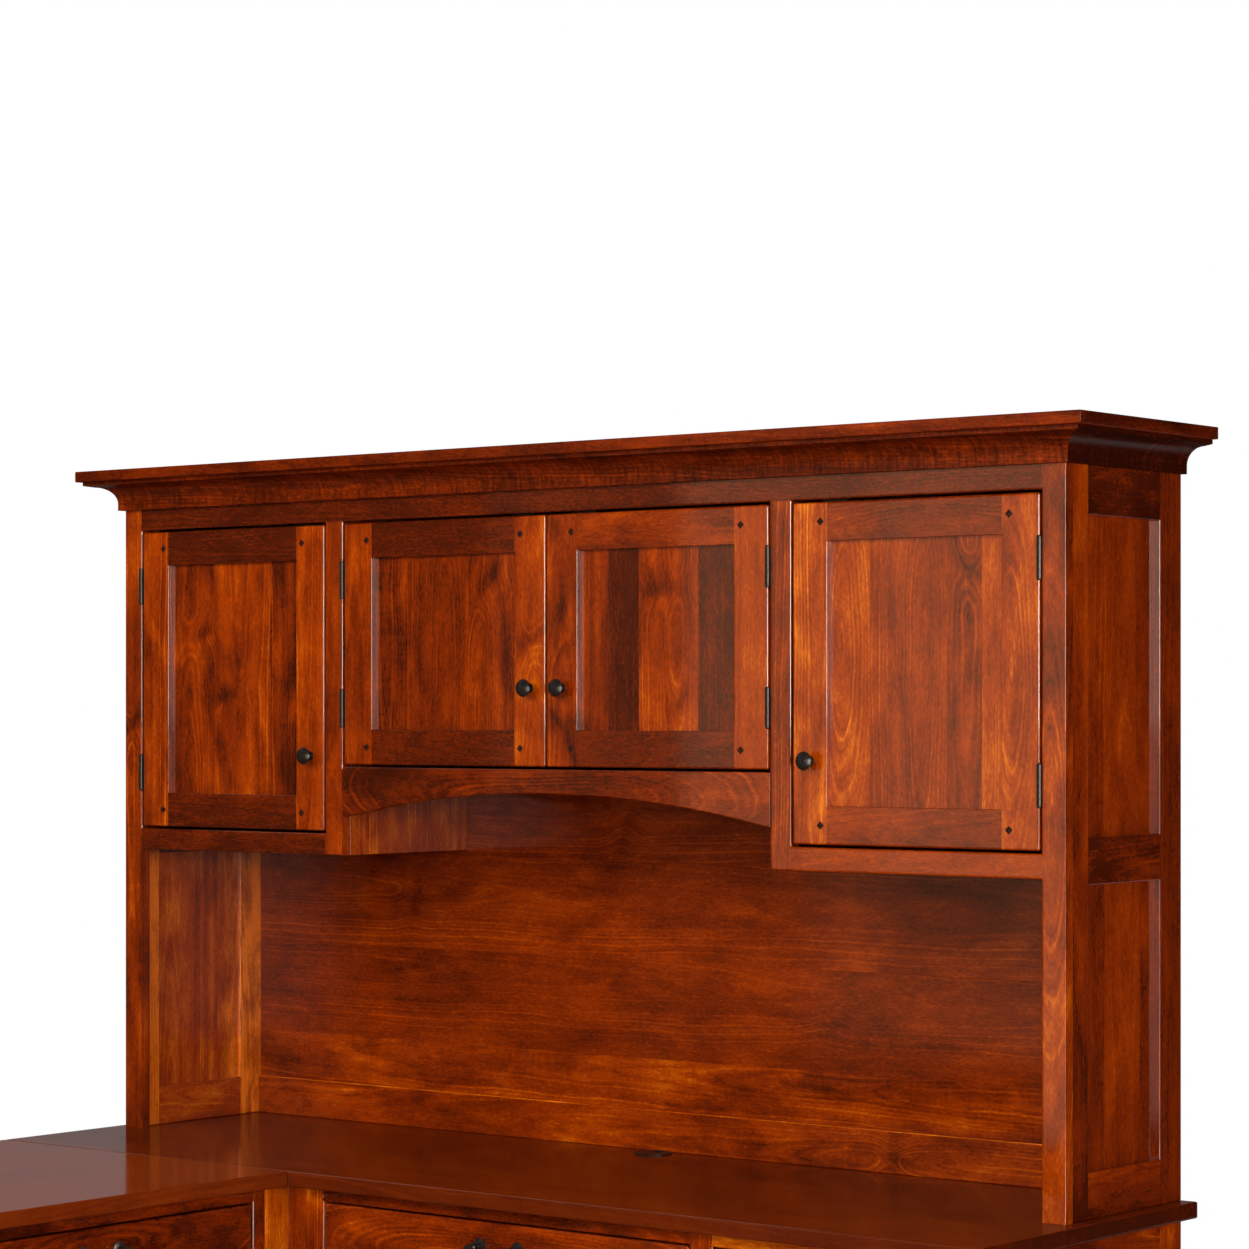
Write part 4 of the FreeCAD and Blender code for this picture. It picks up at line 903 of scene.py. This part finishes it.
def crown_length(side):
    """One length of the crown, drawn, run out and mitred: 0 is the front, -1 and 1 are the ends."""
    low_z = crown_low.z
    fillet = CROWN_REACH - CROWN_FILLET_SETBACK
    rise = crown_high.z - low_z
    out = Vector((0, -1, 0)) if side == 0 else Vector((side, 0, 0))
    if side == 0:
        seat = Vector((CASE_LEFT - CROWN_REACH, HUTCH_FACE, low_z))
        run = Vector((CASE_RIGHT - CASE_LEFT + 2 * CROWN_REACH, 0, 0))
    else:
        seat = Vector((CASE_LEFT if side < 0 else CASE_RIGHT, HUTCH_FACE - CROWN_REACH, low_z))
        run = Vector((0, HUTCH_BACK - HUTCH_FACE + CROWN_REACH, 0))
    up = Vector((0, 0, 1))
    cove_centre = seat + out * (CROWN_LIP + COVE_RADIUS) + up * CROWN_LIP_HEIGHT
    turn_axis = out.cross(up)
    after_cove = out * (CROWN_LIP + COVE_RADIUS) + up * (CROWN_LIP_HEIGHT + COVE_RADIUS)
    foot_of_fillet = out * fillet + up * (rise - CROWN_FILLET)
    strokes = [out * CROWN_LIP, up * CROWN_LIP_HEIGHT, (cove_centre, turn_axis, math.pi / 2, COVE_STEPS),
               foot_of_fillet - after_cove, up * CROWN_FILLET, out * -fillet]
    length = draw_profile(seat, strokes)
    bpy.ops.mesh.select_all(action="SELECT")
    bpy.ops.mesh.extrude_region_move(TRANSFORM_OT_translate={"value": run})
    for corner_x, slant in ((CASE_LEFT, -1), (CASE_RIGHT, 1)):
        if side in (0, slant):
            bpy.ops.mesh.select_all(action="SELECT")
            keep_front = side == 0
            bpy.ops.mesh.bisect(plane_co=(corner_x, HUTCH_FACE, low_z), plane_no=(slant, 1.0, 0.0),
                                use_fill=True, clear_outer=keep_front, clear_inner=not keep_front)
    bpy.ops.mesh.select_all(action="SELECT")
    bpy.ops.mesh.normals_make_consistent(inside=False)
    bpy.ops.object.mode_set(mode="OBJECT")
    return length


def mesh_box(mesh):
    """The lowest and highest corners of a mesh."""
    points = [vertex.co for vertex in mesh.vertices]
    return [[choose(point[axis] for point in points) for axis in range(3)] for choose in (min, max)]


crown_maple = wood_finish("crown_maple", CHERRY_STAIN, lacquer=0.12, lacquer_roughness=0.22)
crown_lengths = []
for side, shade in COVE_SHADES.items():
    length = crown_length(side)
    mesh = length.data
    add_grain_layers(mesh)
    lay_grain(mesh, mesh.polygons, *mesh_box(mesh), shade, curl=0.5, lively=0.6)
    crown_lengths.append(length)
put_together("crown_cove_lengths", "crown_moulding", crown_lengths, crown_maple)
cap_low, cap_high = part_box("crown_cap")
cap = timber(cap_low, cap_high, CAP_SHADE, CAP_EASE, lively=0.6)
ends = [face for face in cap.data.polygons if abs(face.normal.x) > FACING]
lipping_low = (cap_high.x - CAP_LIPPING, cap_low.y, cap_low.z)
lay_grain(cap.data, ends, lipping_low, cap_high, CAP_END_SHADE, lively=0.6)
put_together("crown_cap_board", "crown_cap", [cap], crown_maple)

# The doors: stiles and rails pegged together, 20 mm thick, round a flat panel of glued strips
# that is set back from the frame's face.
DOOR_STILE = 0.063
DOOR_RAIL = 0.0585
DOOR_EASE = 0.0036
DOOR_INNER_EASE = 0.0009
rift = {"cut": "rift"}
calm = {"lively": 0.45}
DOORS = {
    "outer_left_door": {
        "stiles": [(0.40, {"cut": "rift", "lively": 1.2}), (0.56, {"lively": 0.9})],
        "rails": [(0.20, calm), (0.17, calm)],
        "strips": [(1.6, 0.36, {"knot": (0.69, 0.8, 73)}), (1.9, 0.47, {"knot": (0.42, 0.2, 70)}),
                   (1.1, 0.32, {"cut": "rift", "lively": 1.3})]},
    "centre_left_door": {
        "stiles": [(0.46, {}), (0.48, {"knot": (0.5, 0.6, 60), "lively": 0.9})],
        "rails": [(0.23, calm), (0.17, calm)],
        "strips": [(1.0, 0.26, {"curl": 0.2}), (1.6, 0.34, {"cut": "arched", "lively": 0.8}),
                   (1.5, 0.38, {"cut": "arched", "knot": (0.84, 0.5, 40)})]},
    "centre_right_door": {
        "stiles": [(0.42, {"knot": (0.60, 0.5, 12), "lively": 1.3}), (0.57, even_rift)],
        "rails": [(0.26, calm), (0.39, {"lively": 0.7})],
        "strips": [(2, 0.36, rift), (1.9, 0.17, calm), (3.6, 0.47, {"knot": (0.74, 0.3, 80)}),
                   (2.6, 0.25, quiet)]},
    "outer_right_door": {
        "stiles": [(0.62, {"lively": 1.2}), (0.57, {"cut": "arched"})],
        "rails": [(0.36, {"lively": 0.7}), (0.36, {"cut": "arched", "lively": 0.7})],
        "strips": [(2.4, 0.54, {"cut": "arched"}), (4, 0.44, {"cut": "oval", "lively": 0.8}),
                   (1.8, 0.42, {"knot": (0.84, 0.8, 121)}), (1.4, 0.56, rift)]}}
for door, wood in DOORS.items():
    low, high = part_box(f"{door}_frame")
    stiles = [(low.x, low.x + DOOR_STILE), (high.x - DOOR_STILE, high.x)]
    rails = [(low.z, low.z + DOOR_RAIL), (high.z - DOOR_RAIL, high.z)]
    members = [(span, (low.z, high.z), *board) for span, board in zip(stiles, wood["stiles"])]
    middle = (stiles[0][1], stiles[1][0])
    members += [(middle, height, *board) for height, board in zip(rails, wood["rails"])]
    door_frame = framework("y", low.y, high.y, members, DOOR_EASE, inner_ease=DOOR_INNER_EASE)
    put_together(f"{door}_stiles_and_rails", f"{door}_frame", [door_frame], body=door)
    panel = glued_panel(*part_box(f"{door}_panel"), wood["strips"])
    put_together(f"{door}_glued_panel", f"{door}_panel", [panel], body=door)

# The hardware: knobs, butt hinges and drop pulls of oil-rubbed bronze, nearly black, mottled with
# fine specks of the brown metal, and their arrises tumbled smooth.
METAL_EASE = 0.0007


def speckled_finish(name, dark, pale, specks, roughness, constants, ends=(0.0, 1.0), detail=2.0):
    """A finish of fine specks between two colours: how many a metre, the least and the added roughness
    that goes with them, what is the same all over, and where on the specks' scale the colours stand."""
    finish, tree, shader = new_finish(name, constants)
    place = add_node(tree, "TexCoord")
    mottle = add_node(tree, "TexNoise", {"Vector": place.outputs["Object"], "Scale": specks,
                                         "Detail": detail})
    least, added = roughness
    rough = calc(tree, "MULTIPLY_ADD", mottle.outputs["Fac"], added, least)
    tint = colour_chart(tree, mottle.outputs["Fac"], (dark, pale), ends)
    tree.links.new(tint, shader.inputs["Base Color"])
    tree.links.new(rough, shader.inputs["Roughness"])
    return finish


dark_bronze = speckled_finish("dark_bronze", (28, 26, 25), (62, 56, 52), 420.0, (0.28, 0.25),
                              {"Metallic": 0.5, "Coat Weight": 0.2, "Coat Roughness": 0.15},
                              (0.35, 0.75), 3.0)
metal_bodies = {"hinge_frame_leaves": "desk"}
for door in DOORS:
    metal_bodies[f"{door}_hardware"] = door
for drawer in DRAWERS:
    metal_bodies[f"{drawer}_pull_posts"] = drawer
    metal_bodies[f"{drawer}_bail"] = f"{drawer}_bail"
for node, body in metal_bodies.items():
    metal = cad_copy(node)
    ease_arrises(metal, METAL_EASE, steps=2)
    put_together(f"{node}_metal", node, [metal], dark_bronze, body)

# The door pegs: short square pegs of a darker wood, driven through the joints on their corners and
# left proud with a faceted head that takes the stain deeper than the stile does.
PEG_EASE = 0.0003
dark_peg = speckled_finish("dark_peg", (20, 8, 5), (54, 21, 12), 600.0, (0.4, 0.2),
                           {"Coat Weight": 0.2, "Coat Roughness": 0.35})
for door in DOORS:
    pegs = cad_copy(f"{door}_pegs")
    ease_arrises(pegs, PEG_EASE, steps=2)
    put_together(f"{door}_peg_heads", f"{door}_pegs", [pegs], dark_peg, door)

# Small fittings: the cable grommet and the door catches of moulded black plastic, and the nylon
# glides under the stiles, all with the small radius that a mould leaves on every edge.
MOULD_EASE = 0.0006
MOULD_GRIT = 1500.0
black_plastic = speckled_finish("black_plastic", (12, 12, 12), (26, 26, 26), MOULD_GRIT, (0.3, 0.15), {})
nylon = speckled_finish("nylon", (196, 190, 178), (224, 220, 210), MOULD_GRIT, (0.4, 0.15), {})
fittings = [("grommet_sleeve", "desk", black_plastic, "black_plastic"),
            ("grommet_cap", "grommet_cap", black_plastic, "black_plastic"),
            ("door_catches", "desk", black_plastic, "black_plastic"),
            ("floor_glides", "desk", nylon, "nylon")]
for node, body, plastic, slot in fittings:
    fitting = cad_copy(node)
    ease_arrises(fitting, MOULD_EASE, steps=2)
    put_together(f"{node}_moulding", node, [fitting], plastic, body)

# The pedestals' inner boards and runners: plain maple, stained to match, seen only when a drawer
# is open or from inside the knee spaces.
PEDESTAL_SHADE = 0.42
cad_copy("pedestal_boards")
bpy.ops.object.mode_set(mode="EDIT")
bpy.ops.mesh.select_all(action="SELECT")
bpy.ops.mesh.separate(type="LOOSE")
bpy.ops.object.mode_set(mode="OBJECT")
pedestal_boards = list(bpy.context.selected_objects)
for board in pedestal_boards:
    corners = mesh_box(board.data)
    select_only(board)
    ease_arrises(board, SAWN_EASE)
    add_grain_layers(board.data)
    lay_grain(board.data, board.data.polygons, *corners, PEDESTAL_SHADE)
put_together("pedestal_inner_boards", "pedestal_boards", pedestal_boards, inner_maple)

# The studio: a pale floor that fades into a white surround for the camera, and keeps the desk's
# shadow.
FLOOR_RADIUS = 4.5
FLOOR_FADE = (1.6, 3.4)
FLOOR_SWEEP = (2.2, 3.2)
FLOOR_MIRRORED = 0.03
FLOOR_GREY = (236, 236, 234)
select_only()
bpy.ops.mesh.primitive_circle_add(vertices=96, radius=FLOOR_RADIUS, fill_type="NGON", location=(0, 0, 0))
floor = bpy.context.object
floor.name = "studio_floor"


def background_rays(tree):
    """1 for the rays that should see the white background: the camera's, and those of metal and glass."""
    rays = add_node(tree, "LightPath")
    mirrored = calc(tree, "MAXIMUM", rays.outputs["Is Glossy Ray"], rays.outputs["Is Transmission Ray"])
    return rays.outputs["Is Camera Ray"], mirrored


pale_floor, tree, shader = new_finish("pale_floor", {"Base Color": srgb(*FLOOR_GREY), "Roughness": 0.8})
place = add_node(tree, "TexCoord").outputs["Object"]
length = add_node(tree, "VectorMath", {0: place}, operation="LENGTH")
where = add_node(tree, "SeparateXYZ", {0: place})
seen, mirrored = background_rays(tree)
dim = add_node(tree, "Emission", {"Strength": FLOOR_MIRRORED})
glow = add_node(tree, "Emission", {"Strength": 1.0})
lit_or_dim = add_node(tree, "MixShader", {0: mirrored, 1: shader.outputs["BSDF"],
                                          2: dim.outputs["Emission"]})
swept = calc(tree, "MULTIPLY", mirrored, ramp_between(tree, where.outputs["Y"], *FLOOR_SWEEP))
fade = ramp_between(tree, length.outputs["Value"], *FLOOR_FADE)
white = calc(tree, "MULTIPLY", fade, calc(tree, "MAXIMUM", seen, swept))
blend = add_node(tree, "MixShader", {0: white, 1: lit_or_dim.outputs["Shader"],
                                     2: glow.outputs["Emission"]})
tree.links.new(blend.outputs["Shader"], tree.nodes["Material Output"].inputs["Surface"])
floor.data.materials.append(pale_floor)

# The surround: white wherever the camera looks, with a white sweep behind the desk for the metal
# to mirror and a grey haze to its left for the worktops, in a room that is otherwise dim.
ROOM_LIGHT = 0.06
ROOM_MIRRORED = 0.005
HAZE_MIRRORED = 0.35
SWEEP_EDGE = (0.975, 0.995)
HAZE_EDGE = (0.35, 0.60)
HAZE_DEPTH = (0.0, 0.4)
world = bpy.data.worlds.new("white_surround")
bpy.context.scene.world = world
world.use_nodes = True
tree = world.node_tree
surround = tree.nodes["Background"]
surround.inputs["Color"].default_value = (1.0, 1.0, 1.0, 1.0)
place = add_node(tree, "TexCoord")
ways = add_node(tree, "SeparateXYZ", {0: place.outputs["Generated"]})
sweep = ramp_between(tree, ways.outputs["Y"], *SWEEP_EDGE)
leftward = calc(tree, "MULTIPLY", ways.outputs["X"], -1.0)
left_behind = calc(tree, "MULTIPLY", ramp_between(tree, leftward, *HAZE_EDGE),
                   ramp_between(tree, ways.outputs["Y"], *HAZE_DEPTH))
behind = calc(tree, "MULTIPLY_ADD", left_behind, HAZE_MIRRORED, sweep)
seen, mirrored = background_rays(tree)
white = calc(tree, "MAXIMUM", seen, calc(tree, "MULTIPLY", mirrored, behind))
room = calc(tree, "MULTIPLY_ADD", mirrored, ROOM_MIRRORED - ROOM_LIGHT, ROOM_LIGHT)
tree.links.new(calc(tree, "MAXIMUM", white, room), surround.inputs["Strength"])

# The lamps: a key and a high softbox in front, strip softboxes in an arc round the right front, and
# two level lamps for the far sides. They light the wood, and only the cards below are mirrored in it.
AIM = Vector((0.0, 0.6, 1.3))
WHITE = (1.0, 1.0, 1.0)
CREAM = (1.0, 0.90, 0.77)
LAMPS = {"key_softbox": ((1.0, -4.0, 3.8), (1.6, 1.6), 110.0),
         "high_softbox": ((-1.9, -3.0, 3.2), (1.6, 1.6), 80.0),
         "back_softbox": ((0.5, 5.6, 1.4), (3.0, 2.0), 110.0),
         "left_softbox": ((-5.2, 1.4, 1.4), (3.0, 2.0), 110.0)}
STRIP_DISTANCE = 5.0
STRIP_HEIGHT = 1.85
STRIP_SIZE = (2.6, 0.8)
STRIP_POWER = 52.0
STRIP_BEARINGS = {"front": 22.0, "middle": 52.0, "side": 82.0}


def softbox(name, location, size, power, colour=WHITE, aim=AIM):
    """A lamp that faces the desk and isn't seen itself."""
    bpy.ops.object.light_add(type="AREA", location=location)
    light = bpy.context.object
    light.name = name
    light.data.shape = "RECTANGLE"
    light.data.size, light.data.size_y = size
    light.data.energy = power
    light.data.color = colour
    light.rotation_euler = (aim - Vector(location)).to_track_quat("-Z", "Y").to_euler()
    light.visible_camera = False
    return light


def on_arc(bearing, height, distance):
    """A place on an arc round the right front, by its bearing from the hutch's face."""
    turn = math.radians(bearing)
    return (distance * math.sin(turn), HUTCH_FACE - distance * math.cos(turn), height)


lamps = [softbox(name, *lamp) for name, lamp in LAMPS.items()]
for name, bearing in STRIP_BEARINGS.items():
    place = on_arc(bearing, STRIP_HEIGHT, STRIP_DISTANCE)
    lamps.append(softbox(f"{name}_strip", place, STRIP_SIZE, STRIP_POWER, CREAM))
for light in lamps:
    light.visible_glossy = False

# The cards that the lacquer and the metal mirror: bright ones to the right, for the eased edges, narrow
# ones beside the camera, for the corners, one overhead, and a row of amber ones to the left that veil
# the right doors and fade out along the row.
CARD_DISTANCE = 4.7
NEAR_DISTANCE = 2.8
CARDS = {"corner_upper": (39.9, CARD_DISTANCE, 0.6, 1.85, 0.8, 12.0),
         "corner_lower": (39.9, CARD_DISTANCE, 0.6, 0.92, 1.06, 7.0),
         "side_upper": (82.0, CARD_DISTANCE, 2.6, 1.85, 0.8, 170.0),
         "side_lower": (82.0, CARD_DISTANCE, 2.6, 0.75, 1.4, 90.0),
         "near_low": (75.0, NEAR_DISTANCE, 1.6, 0.35, 0.5, 30.0)}
OVERHEAD_CARD = ((-2.4, 0.5, 3.9), (1.5, 1.5), 10.0)
AMBER = (1.0, 0.75, 0.47)
AMBER_PLACE = Vector((-1.55, -3.5, 1.5))
AMBER_FACING = Vector((0.513, 0.858, 0.0))
AMBER_LEFT = Vector((-0.858, 0.513, 0.0))
AMBER_HEIGHT = 2.4
AMBER_CARDS = ((-1.05, 0.5, 7.0), (0.5, 1.05, 1.9), (1.05, 1.6, 0.4), (1.6, 3.0, 0.2))
cards = [softbox("overhead_card", *OVERHEAD_CARD, CREAM)]
for name, (bearing, distance, wide, height, tall, power) in CARDS.items():
    place = on_arc(bearing, height, distance)
    cards.append(softbox(f"{name}_card", place, (wide, tall), power, CREAM))
for number, (near, far, power) in enumerate(AMBER_CARDS):
    place = AMBER_PLACE + AMBER_LEFT * (near + far) / 2
    size = (far - near, AMBER_HEIGHT)
    cards.append(softbox(f"amber_card_{number}", place, size, power, AMBER, place + AMBER_FACING))
for card in cards:
    card.visible_diffuse = False

# The camera: a long lens to the right of the desk, level, at the height of the lower half of the doors,
# with the frame shifted up a little as the photograph's is.
LENS = 101.85
SENSOR = 36.0
FRAME_SHIFT = 0.0715
VIEW_DEPTH = 60.0
CAMERA_PLACE = (3.6140, -3.7585, 1.4908)
CAMERA_YAW = math.radians(38.596)
bpy.ops.object.camera_add(location=CAMERA_PLACE, rotation=(math.pi / 2, 0.0, CAMERA_YAW))
camera = bpy.context.object
camera.data.sensor_width = SENSOR
camera.data.lens = LENS
camera.data.shift_y = FRAME_SHIFT
camera.data.clip_end = VIEW_DEPTH
scene = bpy.context.scene
scene.camera = camera
scene.view_settings.view_transform = "Standard"
